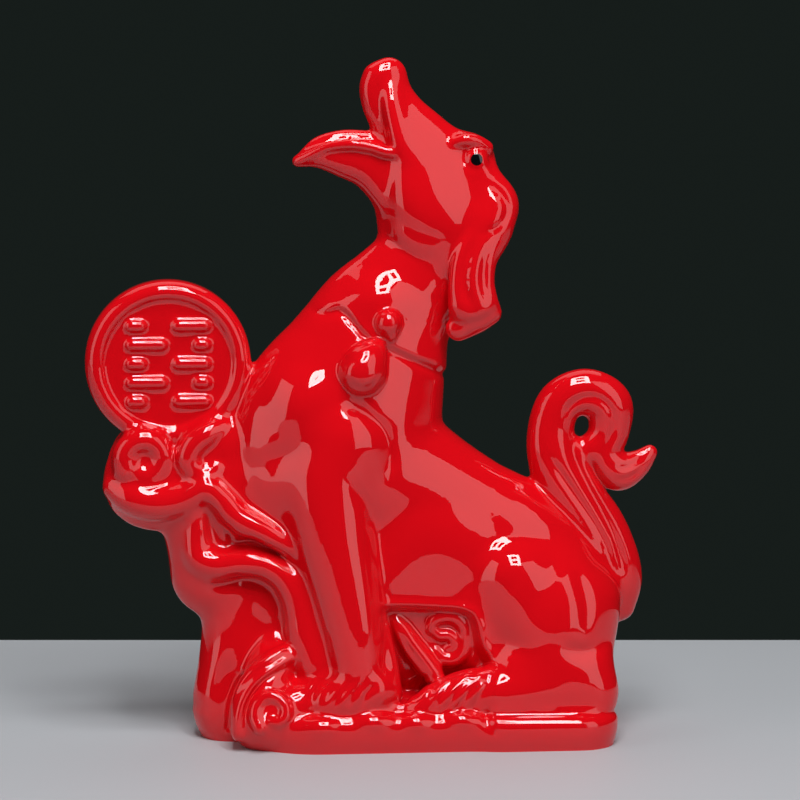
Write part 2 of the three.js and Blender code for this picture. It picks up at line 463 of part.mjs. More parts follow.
function rock() {
  limb([[-38.3, 0, 40.8, 5.2], [-38, 0, 37.4, 6], [-32.5, 0, 36.6, 5.8], [-27, 0, 38, 6]],
    { flat: 0.72, fillet: 4 });
  limb([[-31, 0, 40, 5.6], [-27, 0, 43, 6]], { flat: 0.75, fillet: 4 });
  limb([[-30.1, 0, 34, 6], [-28.5, 0, 28, 6.4], [-27.9, 0, 24.4, 6.6]], { flat: 0.8, fillet: 3 });
  limb([[-25.6, 0, 23.6, 5.6], [-23.6, 0, 17, 6.4], [-22.8, 0, 10, 7.8], [-22.3, 0, 4.8, 9.2]],
    { flat: 0.82, fillet: 3, half: 5.6 });
  limb([[-24, 0, 36, 7], [-18, 0, 28, 8], [-14, 0, 18, 9], [-11, 0, 8, 10]],
    { flat: 0.8, fillet: 4, half: 5.6 });
  limb([[-15.6, -4, 26, 3.6], [-13.4, -5, 19, 4], [-12, -6, 12, 4.4]], { fillet: 4 });
  // the body of the wave at the front corner
  limb([[-19.4, -4.5, 13.4, 2.8], [-20.4, -7, 9.4, 4], [-21.6, -8.2, 4, 4.8]], { fillet: 3 });
  limb([[-12.6, -7.8, 7, 3.6], [-17.2, -9.2, 5.6, 4], [-20.6, -9.8, 3.8, 4]], { fillet: 2 });
  // the two scrolls under the coin
  limb(spiral([-38.2, -2.9, 41.7], { from: 210, turn: -420, outer: 3, inner: 2.3, radius: 1.9, tip: 1.5 }),
    { fillet: 1.8 });
  limb([[-26.9, -3, 46.4, 1.2], [-29, -3.5, 45.4, 1.8], [-31, -3.7, 43.9, 1.9], [-31.8, -3.7, 41.9, 1.9],
    [-31, -3.7, 40.2, 1.8], [-29.2, -3.9, 39.5, 1.6], [-27.9, -3.9, 40.3, 1.3]], { fillet: 1.6 });
  // folds that fall from the shelf
  limb([[-42.6, -1.8, 37.4, 1.6], [-40, -3, 36, 2.3], [-36.4, -3.6, 35.3, 2.5], [-32.6, -4, 35.9, 2.3],
    [-29.2, -4.5, 37.4, 2.1], [-26.9, -4.9, 35.7, 2], [-24.9, -5.5, 33.4, 2.1], [-22, -5.9, 31.7, 2.2],
    [-19.4, -6.1, 30.2, 2.2], [-17.2, -6.4, 28.5, 1.8], [-15.4, -6.7, 26.6, 1.2]], { fillet: 2.6 });
  limb([[-30.8, -3.6, 35, 1.6], [-30.6, -3.7, 32, 1.7], [-30.8, -3.8, 29.6, 1.8], [-30.4, -4, 27.4, 2.1],
    [-28, -4.4, 26.2, 2.4], [-24.3, -5, 26.6, 2.3], [-20.8, -5.5, 26.3, 2.3], [-18.2, -5.8, 24.8, 2.5],
    [-16.4, -6.2, 22.4, 2.7], [-15.3, -6.6, 19.4, 2.9], [-14.7, -7, 16, 3.1], [-13.4, -7.6, 12, 3.2]],
  { fillet: 2.6 });
  line([[-29, 34.6, 0.3], [-28.4, 32], [-27.8, 30], [-26.8, 28.8, 0.4]], { depth: 1.6, width: 2.4 });
  line([[-26.5, 33, 0.2], [-26, 31], [-25, 29.6, 0.3]], { depth: 0.8, width: 1.4 });
  line([[-25, 29.2, 0.4], [-23, 29.8], [-20.8, 29], [-18.4, 27.8], [-16.4, 26.2, 0.4]],
    { depth: 1.8, width: 2 });
  line([[-29.4, 23.6, 0.2], [-27.4, 23.4], [-24.8, 23.8], [-22.3, 23.6], [-20.4, 22.6], [-19.3, 20.8, 0.6],
    [-18.8, 19, 0.2]], { depth: 1.4, width: 2.6 });
  // a hollow leaf in the pillar
  limb([[-24.6, -6.2, 21.8, 0.5], [-23.1, -6.6, 19.8, 1.3], [-21.7, -7, 17.8, 1.8],
    [-20.8, -7.6, 15.9, 1.3], [-20.4, -8.2, 14.6, 0.5]], { fillet: 1.6, carve: true });
  line([[-26.2, 12.4, 0.2], [-26.6, 10.4], [-27.4, 8.2], [-28.2, 6, 0.2]], { depth: 0.9, width: 2.4 });
  // the wave's hooked crest, and the curl inside it
  limb([[-15.4, -6.6, 13.4, 1.4], [-17.6, -7.8, 13.2, 1.9], [-20, -9, 12.2, 2], [-22.2, -9.8, 10.6, 1.9],
    [-23.8, -10.4, 8.6, 1.7], [-24.8, -10.8, 6, 1.6], [-25, -11, 3, 1.6]], { fillet: 1.6 });
  const curl = spiral([-20, -13, 5.9],
    { from: 225, turn: -330, outer: 2.9, inner: 1.2, radius: 1.1, tip: 0.8 });
  for (const point of curl) point[1] += 0.4 * (point[2] - 5.9) - 0.19 * (point[0] + 20);
  limb(curl, { fillet: 1 });
  limb([[-15.8, -9.2, 7, 1.3], [-14.4, -9.8, 5.4, 1.4], [-15, -10.6, 4, 1.3]], { fillet: 1.4 });
}

// The wall between the legs, with a breaking wave in a panel that is set back
function underBelly() {
  const wall = BELLY_HALF_WIDTH / SHARE;
  egg([3.5, 0, 20], [15, 12.5, 17], { fillet: 6, half: wall });
  egg([13, 0, 16], [9, 12, 11], { fillet: 5, half: wall + 0.8 });
  terrace([[-6, 20.4], [-2.8, 20], [0.8, 20], [4.1, 19.8], [7.4, 19.5], [8.8, 19], [9.3, 17.7], [9.6, 16],
    [10.2, 14], [11.2, 12.7], [12.2, 11.6], [12, 7], [-6, 7]], { depth: PANEL_DEPTH, edge: 0.9 });
  line([[-4, 21], [0.6, 20.8], [4.4, 20.5], [8, 20.2], [9.6, 19.2], [10.3, 17.4], [10.6, 15.8],
    [11.2, 14.2], [12.4, 12.8, 0.3]], { depth: -0.8, width: 1.2 });
  const floor = (PANEL_DEPTH - BELLY_HALF_WIDTH) / SHARE;
  limb([[-2, floor + 0.2, 18.6, 0.7], [-0.8, floor - 0.2, 16.4, 1.3], [0.7, floor - 0.4, 14, 1.6],
    [2.4, floor - 0.6, 11.8, 1.7], [3.6, floor - 0.8, 10, 1.7]], { fillet: 1 });
  limb([[3.2, floor, 16.6, 0.7], [3.7, floor - 0.1, 18, 0.9], [5.2, floor - 0.1, 18.6, 1],
    [7.1, floor - 0.1, 18.3, 1.1], [8.2, floor - 0.1, 16.9, 1.1], [8.4, floor - 0.1, 15, 1.2],
    [7.8, floor - 0.1, 13.2, 1.2], [6.4, floor - 0.1, 12.2, 1.1], [4.8, floor - 0.1, 12.6, 0.9],
    [3.9, floor, 13.8, 0.6]], { fillet: 0.8 });
  limb([[3.9, floor - 0.1, 16.4, 0.7], [4.7, floor - 0.2, 15.8, 0.8], [5.7, floor - 0.2, 15.9, 0.8],
    [6.6, floor - 0.2, 15.2, 0.8], [6.6, floor - 0.2, 14.2, 0.7], [5.6, floor - 0.1, 13.9, 0.6]],
  { fillet: 0.6 });
}

plinth();
trunk();
underBelly();
rock();
coin();
frontLegs();
hindLegs();
tail();
collar();
head();
ears();
bells();

function distanceAt(x, y, z) {
  let distance = FAR;
  for (const { box, change } of steps) {
    const { min, max } = box;
    if (x > min.x && x < max.x && y > min.y && y < max.y && z > min.z && z < max.z) {
      distance = change(distance, x, y, z);
    }
  }
  return distance;
}

// The corners of a grid cube, its edges as pairs of corners, and the four edges round each of its faces
const CORNERS = [[0, 0, 0], [1, 0, 0], [0, 1, 0], [1, 1, 0], [0, 0, 1], [1, 0, 1], [0, 1, 1], [1, 1, 1]];
const EDGES = [
  [0, 1], [2, 3], [4, 5], [6, 7], // along X
  [0, 2], [1, 3], [4, 6], [5, 7], // along Y
  [0, 4], [1, 5], [2, 6], [3, 7], // along Z
];
const FACE_CORNERS = [[0, 1, 3, 2], [4, 5, 7, 6], [0, 1, 5, 4], [2, 3, 7, 6], [0, 2, 6, 4], [1, 3, 7, 5]];
const edgeBetween = (a, b) => EDGES.findIndex((edge) => edge.includes(a) && edge.includes(b));
const FACES = FACE_CORNERS.map((ring) => ring.map((corner, i) => edgeBetween(corner, ring[(i + 1) % 4])));

// Sorts the cut edges of a cube into the separate sheets that pass through it
function sheetsThrough(signs) {
  const cut = EDGES.map(([a, b]) => signs[a] !== signs[b]);
  const sheet = EDGES.map((_, index) => index);
  const join = (a, b) => {
    const from = sheet[a];
    const to = sheet[b];
    for (let i = 0; i < sheet.length; i++) if (sheet[i] === from) sheet[i] = to;
  };
  FACES.forEach((ring, face) => {
    const crossed = ring.filter((edge) => cut[edge]);
    if (crossed.length === 2) join(crossed[0], crossed[1]);
    if (crossed.length === 4) {
      // opposite corners are solid: each keeps a sheet of its own round it
      FACE_CORNERS[face].forEach((corner, i) => {
        if (signs[corner]) join(ring[i], ring[(i + 3) % 4]);
      });
    }
  });
  return { cut, sheet };
}

// The surface where the distance is zero, as a closed mesh: a vertex for each sheet in each grid cube, and
// two triangles round each grid edge that the surface cuts
function surfaceMesh() {
  const reach = 27.5 * CELL; // as far on both sides, so that the grid is the same on each
  const low = new THREE.Vector3(-48.4 * SHARE, -reach, -BELOW);
  const high = new THREE.Vector3(42 * SHARE, reach, 103 * SHARE);
  const [nx, ny, nz] = ['x', 'y', 'z'].map((axis) => Math.ceil((high[axis] - low[axis]) / CELL) + 1);
  const values = new Float64Array(nx * ny * nz);
  const node = (i, j, k) => (k * ny + j) * nx + i;
  for (let k = 1; k < nz - 1; k++) {
    for (let j = 1; j < ny - 1; j++) {
      for (let i = 1; i < nx - 1; i++) {
        values[node(i, j, k)] = distanceAt(low.x + i * CELL, low.y + j * CELL, low.z + k * CELL);
      }
    }
  }
  const vertices = [];
  const vertexOf = new Map(); // by cube and edge
  const cuts = [];
  for (let k = 0; k < nz - 1; k++) {
    for (let j = 0; j < ny - 1; j++) {
      for (let i = 0; i < nx - 1; i++) {
        const signs = CORNERS.map(([a, b, c]) => values[node(i + a, j + b, k + c)] < 0);
        if (signs.every((sign) => sign === signs[0])) continue;
        const { cut, sheet } = sheetsThrough(signs);
        const middles = new Map();
        EDGES.forEach(([a, b], edge) => {
          if (!cut[edge]) return;
          const from = values[node(i + CORNERS[a][0], j + CORNERS[a][1], k + CORNERS[a][2])];
          const to = values[node(i + CORNERS[b][0], j + CORNERS[b][1], k + CORNERS[b][2])];
          const t = from / (from - to);
          const point = CORNERS[a].map((value, axis) => value + (CORNERS[b][axis] - value) * t);
          const middle = middles.get(sheet[edge]) ?? { sum: [0, 0, 0], count: 0, edges: [] };
          point.forEach((value, axis) => { middle.sum[axis] += value; });
          middle.count++;
          middle.edges.push(edge);
          middles.set(sheet[edge], middle);
        });
        for (const { sum, count, edges } of middles.values()) {
          const [x, y, z] = sum.map((value) => (value / count) * CELL);
          for (const edge of edges) vertexOf.set(EDGES.length * node(i, j, k) + edge, vertices.length);
          vertices.push([low.x + i * CELL + x, low.y + j * CELL + y, low.z + k * CELL + z]);
        }
        [0, 4, 8].forEach((edge, axis) => {
          if (cut[edge]) cuts.push({ i, j, k, axis, solidFirst: signs[0] });
        });
      }
    }
  }
  // the four cubes round an edge along each axis, in order, and what that edge is called in each
  const AROUND = [
    [[[0, 0, 0], 0], [[0, -1, 0], 1], [[0, -1, -1], 3], [[0, 0, -1], 2]],
    [[[0, 0, 0], 4], [[0, 0, -1], 6], [[-1, 0, -1], 7], [[-1, 0, 0], 5]],
    [[[0, 0, 0], 8], [[-1, 0, 0], 9], [[-1, -1, 0], 11], [[0, -1, 0], 10]],
  ];
  const triangles = [];
  for (const { i, j, k, axis, solidFirst } of cuts) {
    const ring = AROUND[axis].map(([[a, b, c], edge]) => {
      return vertexOf.get(EDGES.length * node(i + a, j + b, k + c) + edge);
    });
    if (!solidFirst) ring.reverse();
    triangles.push([ring[0], ring[1], ring[2]], [ring[0], ring[2], ring[3]]);
  }
  return { vertices, triangles };
}

// The sum of squared distances to a set of planes is kept as the ten numbers of a symmetric 4 x 4 matrix.
// This gives the point where the sum is least, or null where the planes don't fix one.
function lowestPoint(q) {
  const [a, b, c, d, e, f, g, h, i] = q;
  const minor = [e * h - f * f, c * f - b * h, b * f - c * e];
  const size = a * minor[0] + b * minor[1] + c * minor[2];
  if (Math.abs(size) < 1e-3 * (a + e + h) ** 3) return null;
  return [
    -(d * minor[0] + g * minor[1] + i * minor[2]) / size,
    -(d * minor[1] + g * (a * h - c * c) + i * (b * c - a * f)) / size,
    -(d * minor[2] + g * (b * c - a * f) + i * (a * e - b * b)) / size,
  ];
}

function planeError(q, [x, y, z]) {
  const [a, b, c, d, e, f, g, h, i, j] = q;
  return x * (a * x + 2 * (b * y + c * z + d)) + y * (e * y + 2 * (f * z + g)) + z * (h * z + 2 * i) + j;
}

// How much a fault in the surface counts: most in the coin's marks
function careAt([x, y, z]) {
  const inCoin = Math.hypot(x - COIN_CENTRE.x, z - COIN_CENTRE.z) < COIN_DIAMETER / 2 - COIN_RIM_WIDTH;
  return inCoin && y < 0 ? COIN_CARE : 1;
}

// Merges the ends of edges of a closed mesh, least visible first, until the triangle budget is met
function reduced({ vertices, triangles }, budget) {
  const points = vertices.map((vertex) => [...vertex]);
  const faces = triangles.map((triangle) => [...triangle]);
  const facesAt = points.map(() => new Set());
  faces.forEach((face, index) => face.forEach((vertex) => facesAt[vertex].add(index)));
  const quadrics = points.map(() => new Float64Array(10));
  const age = new Uint32Array(points.length);

  const difference = (a, b) => [points[b][0] - a[0], points[b][1] - a[1], points[b][2] - a[2]];
  function normal(a, b, c) {
    const [ux, uy, uz] = difference(points[a], b);
    const [vx, vy, vz] = difference(points[a], c);
    return [uy * vz - uz * vy, uz * vx - ux * vz, ux * vy - uy * vx];
  }
  for (const [a, b, c] of faces) {
    const vector = normal(a, b, c);
    const area = Math.hypot(...vector);
    if (area < 1e-12) continue;
    const [x, y, z] = vector.map((value) => value / area);
    const w = -(x * points[a][0] + y * points[a][1] + z * points[a][2]);
    const terms = [x * x, x * y, x * z, x * w, y * y, y * z, y * w, z * z, z * w, w * w];
    const weight = area * careAt(points[a]);
    for (const vertex of [a, b, c]) {
      terms.forEach((term, slot) => { quadrics[vertex][slot] += term * weight; });
    }
  }

  // a heap of edges, the cheapest on top
  const heap = [];
  function push(entry) {
    let at = heap.push(entry) - 1;
    while (at > 0) {
      const parent = (at - 1) >> 1;
      if (heap[parent].cost <= entry.cost) break;
      heap[at] = heap[parent];
      at = parent;
    }
    heap[at] = entry;
  }
  function pop() {
    const top = heap[0];
    const last = heap.pop();
    if (heap.length === 0) return top;
    let at = 0;
    for (;;) {
      let child = 2 * at + 1;
      if (child >= heap.length) break;
      if (child + 1 < heap.length && heap[child + 1].cost < heap[child].cost) child++;
      if (heap[child].cost >= last.cost) break;
      heap[at] = heap[child];
      at = child;
    }
    heap[at] = last;
    return top;
  }
  function offer(a, b) {
    const sum = quadrics[a].map((value, slot) => value + quadrics[b][slot]);
    const middle = points[a].map((value, axis) => (value + points[b][axis]) / 2);
    const length = Math.hypot(...difference(points[a], b));
    const lowest = lowestPoint(sum);
    const offset = lowest ? Math.hypot(...lowest.map((value, axis) => value - middle[axis])) : Infinity;
    const spot = offset < 1.5 * length + 0.01 ? lowest : middle;
    push({ cost: planeError(sum, spot) + 1e-4 * length ** 3, a, b, ageA: age[a], ageB: age[b], spot });
  }
  function neighbours(vertex) {
    const found = new Set();
    for (const face of facesAt[vertex]) faces[face].forEach((other) => found.add(other));
    found.delete(vertex);
    return found;
  }
  function turnsOver(vertex, partner, spot) {
    for (const index of facesAt[vertex]) {
      const face = faces[index];
      if (face.includes(partner)) continue;
      const before = normal(...face);
      const kept = points[vertex];
      points[vertex] = spot;
      const after = normal(...face);
      points[vertex] = kept;
      const agreement = before[0] * after[0] + before[1] * after[1] + before[2] * after[2];
      if (agreement <= 0.2 * Math.hypot(...before) * Math.hypot(...after)) return true;
    }
    return false;
  }

  points.forEach((point, vertex) => {
    for (const other of neighbours(vertex)) if (vertex < other) offer(vertex, other);
  });
  let remaining = faces.length;
  while (remaining > budget && heap.length > 0) {
    const { a, b, ageA, ageB, spot } = pop();
    if (age[a] !== ageA || age[b] !== ageB) continue;
    const beside = neighbours(b);
    const shared = [...neighbours(a)].filter((vertex) => beside.has(vertex));
    if (shared.length !== 2 || turnsOver(a, b, spot) || turnsOver(b, a, spot)) continue;
    points[a] = spot;
    quadrics[a] = quadrics[a].map((value, slot) => value + quadrics[b][slot]);
    for (const index of facesAt[b]) {
      const face = faces[index];
      if (face.includes(a)) {
        face.forEach((vertex) => facesAt[vertex].delete(index));
        faces[index] = null;
        remaining--;
      } else {
        face[face.indexOf(b)] = a;
        facesAt[a].add(index);
      }
    }
    facesAt[b].clear();
    age[a]++;
    age[b]++;
    for (const other of neighbours(a)) offer(a, other);
  }
  return { vertices: points, triangles: faces.filter(Boolean) };
}

const wasm = await Module();
wasm.setup();

function solidOf(geometry) {
  const position = geometry.getAttribute('position').array;
  return new wasm.Manifold(new wasm.Mesh({
    numProp: 3,
    vertProperties: Float32Array.from(position),
    triVerts: Uint32Array.from(geometry.index.array),
  }));
}

function geometryOf(solid) {
  const { vertProperties, triVerts } = solid.getMesh();
  const geometry = new THREE.BufferGeometry();
  geometry.setAttribute('position', new THREE.BufferAttribute(vertProperties, 3));
  geometry.setIndex(new THREE.BufferAttribute(triVerts, 1));
  geometry.computeVertexNormals();
  return geometry;
}

// The sculpted body, cut off flat at the underside
function casting() {
  const { vertices, triangles } = reduced(surfaceMesh(), TRIANGLE_BUDGET);
  const rough = new THREE.BufferGeometry();
  rough.setAttribute('position', new THREE.Float32BufferAttribute(vertices.flat(), 3));
  rough.setIndex(triangles.flat());
  const depth = 2 * BELOW;
  const below = new THREE.BoxGeometry(2 * FIGURE_HEIGHT, 2 * FIGURE_HEIGHT, depth);
  below.translate(0, 0, -depth / 2);
  below.deleteAttribute('normal');
  below.deleteAttribute('uv');
  return geometryOf(solidOf(rough).subtract(solidOf(mergeVertices(below))));
}

const glaze = new THREE.MeshStandardMaterial({ color: 0xb80812, roughness: 0.08, metalness: 0 });
const figure = new THREE.Mesh(casting(), glaze);
figure.name = 'zodiac_dog';
const group = new THREE.Group();
group.add(figure);

export default group;
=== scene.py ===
"""A glazed porcelain dog of the Chinese zodiac, howling beside a coin on a cloud-scrolled rock.

The frame gives the plain solid. This script models the same figure again as one fine surface, with its
toes, hair, cloud scrolls and waves, gives it a deep red glaze, and sets it in a plain studio.
The figure is modelled in millimetres. The points and radii of its free forms are in hundredths of its height,
as [x, y, z, radius], and their fillets, and the depth and width of lines, are in millimetres.
X runs along the dog from coin to tail, +Z is up and -Y is the side that faces the camera.
"""
import math

import bmesh
import bpy
import numpy as np
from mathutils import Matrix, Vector


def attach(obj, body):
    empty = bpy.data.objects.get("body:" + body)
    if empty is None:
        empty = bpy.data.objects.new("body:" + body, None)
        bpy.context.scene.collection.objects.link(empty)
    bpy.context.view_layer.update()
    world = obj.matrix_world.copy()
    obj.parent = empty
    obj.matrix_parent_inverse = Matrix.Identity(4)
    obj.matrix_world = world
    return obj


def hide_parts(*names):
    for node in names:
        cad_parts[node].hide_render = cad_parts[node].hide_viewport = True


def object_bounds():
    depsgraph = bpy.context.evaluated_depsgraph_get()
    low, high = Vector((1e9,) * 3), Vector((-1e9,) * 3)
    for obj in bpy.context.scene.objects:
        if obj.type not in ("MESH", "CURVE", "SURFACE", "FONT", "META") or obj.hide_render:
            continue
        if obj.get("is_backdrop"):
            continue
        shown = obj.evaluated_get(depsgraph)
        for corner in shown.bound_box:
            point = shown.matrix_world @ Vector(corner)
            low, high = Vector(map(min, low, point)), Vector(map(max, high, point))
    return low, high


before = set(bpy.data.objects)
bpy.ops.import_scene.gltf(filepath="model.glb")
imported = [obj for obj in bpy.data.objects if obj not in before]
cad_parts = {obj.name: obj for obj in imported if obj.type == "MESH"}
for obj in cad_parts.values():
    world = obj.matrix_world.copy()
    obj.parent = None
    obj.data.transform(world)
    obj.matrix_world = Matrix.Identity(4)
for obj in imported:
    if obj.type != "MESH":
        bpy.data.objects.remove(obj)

cad_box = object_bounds()

MM = 0.001  # metres

# Driving dimensions, in millimetres
FIGURE_HEIGHT = 240.0
PLINTH_LENGTH = 134.0
PLINTH_DEPTH = 76.0
PLINTH_HEIGHT = 13.0
PLINTH_COIN_CORNER = 30.0  # corner radii in plan
PLINTH_TAIL_CORNER = 15.0
PLINTH_EDGE = 5.0  # rounding along the upper edge
PLINTH_UNDERCUT = 1.8  # how far the side draws in towards the underside
PLINTH_UNDERCUT_HEIGHT = 7.0
PLINTH_UNDERCUT_REACH = 6.0  # how far in from the side it fades out
PLINTH_SET_IN = 1.8  # how far the side stands back from the coin's end to the hind toes
PLINTH_STEP_X = 26.0
PLINTH_STEP_SOFTNESS = 4.0
COIN_DIAMETER = 58.0
COIN_THICKNESS = 16.0
COIN_RIM_WIDTH = 7.2
COIN_RECESS_DEPTH = 2.6
COIN_SOFTNESS = 4.5  # of the slope inside the rim
COIN_EDGE = 0.7  # rounding along the rim, as a share of half the thickness
COIN_SLOPE = 0.7  # steepness of the slope inside the rim
STROKE_WIDTH = 4.3  # raised marks on the coin
STROKE_HEIGHT = 2.0
STROKE_PITCH = 6.6  # from row to row
STROKE_ROWS = 5
STROKE_ROW_LENGTH = 30.0
STROKE_GAPS = (-0.1, 0.14)  # where the gap lies in even and odd rows, in row lengths from the middle
STROKE_FILLET = 1.2
COLLAR_WIDTH = 15.0
COLLAR_THICKNESS = 1.0
COLLAR_GROOVE = 1.1
BELL_DIAMETER = 17.4
KNOB_DIAMETER = 9.8
GLAZE_FILLET = 2.4  # softness where one form meets another

SHARE = FIGURE_HEIGHT / 100  # one hundredth of the height
PLINTH_CENTRE_X = 2.7 * SHARE
BELLY_WALL = 9.2  # from the middle to the wall between the legs, in hundredths of the height
PANEL_DEPTH = 4.0  # of the panel in that wall, in millimetres
COIN_SEAT = np.array([-34.6, 0.0, 43.5]) * SHARE
COIN_CENTRE = COIN_SEAT + [0, 0, COIN_DIAMETER / 2]

# The grid that the figure is modelled on, in millimetres, and the size of the finished mesh
CELL = 0.75
CLAY_LOW = (-48 * SHARE, -17 * SHARE, -4 * CELL)
CLAY_HIGH = (42 * SHARE, 17 * SHARE, 103 * SHARE)
OPEN_DISTANCE = 6 * CELL  # what the grid holds before the first form
GLAZE_BLUR = 0.55  # how far the glaze softens every edge
TRIANGLES = 190_000
CHAIN_SAMPLES = 7  # of a curve, from one given point to the next
THINNEST = 0.05 * SHARE  # radius of a limb's end
LINE_REACH = 2.2  # a line has faded out at this many widths
TERRACE_REACH = 3  # and a terrace's edge at this many edge widths
TINY = 1e-6  # keeps a divisor from zero


def soft_min(a, b, softness):
    overlap = np.maximum(softness - np.abs(a - b), 0) / softness
    return np.minimum(a, b) - overlap * overlap * (softness / 4)


def soft_max(a, b, softness):
    return -soft_min(-a, -b, softness)


def rounded_corner(a, b, radius):
    """Distance to a rounded corner of two faces, where a and b are measured from the middle of its arc."""
    outside = np.hypot(np.maximum(a, 0), np.maximum(b, 0))
    return outside + np.minimum(np.maximum(a, b), 0) - radius


def smooth_curve(points):
    """A centripetal Catmull-Rom curve through rows of numbers, whose first three are a place."""
    rows = np.array(points, dtype=float)
    gaps = np.sqrt(np.linalg.norm(np.diff(rows[:, :3], axis=0), axis=1))
    knots = np.concatenate([[0], np.cumsum(np.maximum(gaps, TINY))])
    slopes = np.gradient(rows, knots, axis=0)
    curve = []
    for i, gap in enumerate(np.diff(knots)):
        for t in np.arange(CHAIN_SAMPLES) / CHAIN_SAMPLES:
            curve.append(rows[i] * (2 * t ** 3 - 3 * t ** 2 + 1) + rows[i + 1] * (3 * t ** 2 - 2 * t ** 3)
                         + gap * (slopes[i] * (t ** 3 - 2 * t ** 2 + t) + slopes[i + 1] * (t ** 3 - t ** 2)))
    return np.array(curve + [rows[-1]])


def direction(azimuth, elevation):
    """A unit vector from its angles in degrees. Azimuth 0 is the camera's side, and -90 is the coin's."""
    turn, rise = math.radians(azimuth), math.radians(elevation)
    return math.sin(turn) * math.cos(rise), -math.cos(turn) * math.cos(rise), math.sin(rise)


class Clay:
    """The figure as distances from its surface, on a grid: negative inside, positive outside."""

    def __init__(self, low, high):
        self.axes = [np.arange(a, b + CELL, CELL, dtype=np.float32) for a, b in zip(low, high)]
        self.distance = np.full([len(axis) for axis in self.axes], OPEN_DISTANCE, dtype=np.float32)

    def window(self, low, high):
        """The part of the grid inside a box, with its coordinates along each axis."""
        ranges = []
        for axis, a, b in zip(self.axes, low, high):
            ranges.append(slice(int(np.searchsorted(axis, a)), int(np.searchsorted(axis, b))))
        x, y, z = (axis[part] for axis, part in zip(self.axes, ranges))
        return tuple(ranges), x[:, None, None], y[None, :, None], z[None, None, :]

    def change(self, low, high, both_sides, rule):
        """Applies rule(distance, x, y, z) inside a box, and in its mirror image if both_sides is set."""
        low, high = np.array(low, dtype=float), np.array(high, dtype=float)
        if both_sides:
            high[1] = max(high[1], -low[1])
        window, x, y, z = self.window(low, high)
        side = -np.abs(y) if both_sides else y
        self.distance[window] = rule(self.distance[window], x, side, z)


clay = Clay(CLAY_LOW, CLAY_HIGH)


def chain_distance(chain, flat, x, y, z):
    """Distance to a chain of discs whose section is an ellipse: flat is its depth over its height."""
    stretched = y / flat
    best = None
    for (ax, ay, az, from_radius), (bx, by, bz, to_radius) in zip(chain[:-1], chain[1:]):
        ay, by = ay / flat, by / flat
        dx, dy, dz = bx - ax, by - ay, bz - az
        square = dx * dx + dy * dy + dz * dz
        px, py, pz = x - ax, stretched - ay, z - az
        along = (px * dx + py * dy) + pz * dz
        reach = (px * px + py * py) + pz * pz
        t = np.clip(along / square, 0, 1)
        reach = np.maximum(reach + t * (t * square - 2 * along), TINY)
        length = np.sqrt(reach)
        own = length - (from_radius + (to_radius - from_radius) * t)
        if flat != 1:
            ey = py - dy * t
            own /= np.sqrt(1 + ey * ey * (1 / flat ** 2 - 1) / reach)
        best = own if best is None else np.minimum(best, own)
    return best


def flattened(distance, y, half):
    """Planes a form off softly on both flanks, at half its width in hundredths of the height."""
    return distance if half is None else soft_max(distance, np.abs(y) - half * SHARE, 2 * GLAZE_FILLET)


def limb(points, flat=1.0, fillet=GLAZE_FILLET, both_sides=True, carve=False, half=None):
    """A body, limb, roll or ridge swept along a curve, or a channel if carve is set."""
    chain = smooth_curve(points) * SHARE
    chain[:, 3] = np.maximum(chain[:, 3], THINNEST)
    reach = chain[:, 3:] + fillet + CELL
    low = (chain[:, :3] - reach).min(axis=0)
    high = (chain[:, :3] + reach).max(axis=0)

    def rule(distance, x, y, z):
        own = flattened(chain_distance(chain, flat, x, y, z), y, half)
        return soft_max(distance, -own, fillet) if carve else soft_min(distance, own, fillet)

    clay.change(low, high, both_sides, rule)


def egg(centre, radii, tilt=0.0, fillet=GLAZE_FILLET, both_sides=True, carve=False, half=None):
    """An egg-shaped swelling or hollow, turned by tilt degrees in the picture plane."""
    centre = np.array(centre) * SHARE
    radii = np.array(radii) * SHARE
    cos, sin = math.cos(math.radians(tilt)), math.sin(math.radians(tilt))
    reach = radii.max() + fillet + CELL

    def rule(distance, x, y, z):
        dx, dz = x - centre[0], z - centre[2]
        u = (dx * cos + dz * sin) / radii[0]
        v = (y - centre[1]) / radii[1]
        w = (dz * cos - dx * sin) / radii[2]
        size = np.sqrt(u * u + v * v + w * w)
        grade = np.sqrt((u / radii[0]) ** 2 + (v / radii[1]) ** 2 + (w / radii[2]) ** 2)
        own = flattened(size * (size - 1) / np.maximum(grade, TINY), y, half)
        return soft_max(distance, -own, fillet) if carve else soft_min(distance, own, fillet)

    clay.change(centre - reach, centre + reach, both_sides, rule)


def line(points, depth, width, both_sides=True):
    """A groove (depth > 0) or a raised line (depth < 0) along a curve drawn on the figure's flank.
    A point is [x, z] or [x, z, strength]."""
    rows = [(p[0], 0, p[1], p[2] if len(p) > 2 else 1.0) for p in points]
    chain = smooth_curve(rows)
    chain[:, :3] *= SHARE
    low = chain[:, :3].min(axis=0) - LINE_REACH * width
    high = chain[:, :3].max(axis=0) + LINE_REACH * width
    low[1], high[1] = -FIGURE_HEIGHT, (FIGURE_HEIGHT if both_sides else 0)

    def rule(distance, x, y, z):
        nearest = strength = None
        for (ax, _, az, from_strength), (bx, _, bz, to_strength) in zip(chain[:-1], chain[1:]):
            dx, dz = bx - ax, bz - az
            t = np.clip(((x - ax) * dx + (z - az) * dz) / (dx * dx + dz * dz), 0, 1)
            away = np.hypot(x - ax - dx * t, z - az - dz * t)
            own = from_strength + (to_strength - from_strength) * t
            if nearest is None:
                nearest, strength = away, own
            else:
                strength = np.where(away < nearest, own, strength)
                nearest = np.minimum(nearest, away)
        return distance + depth * strength * np.exp(-(nearest / width) ** 2)

    clay.change(low, high, both_sides, rule)


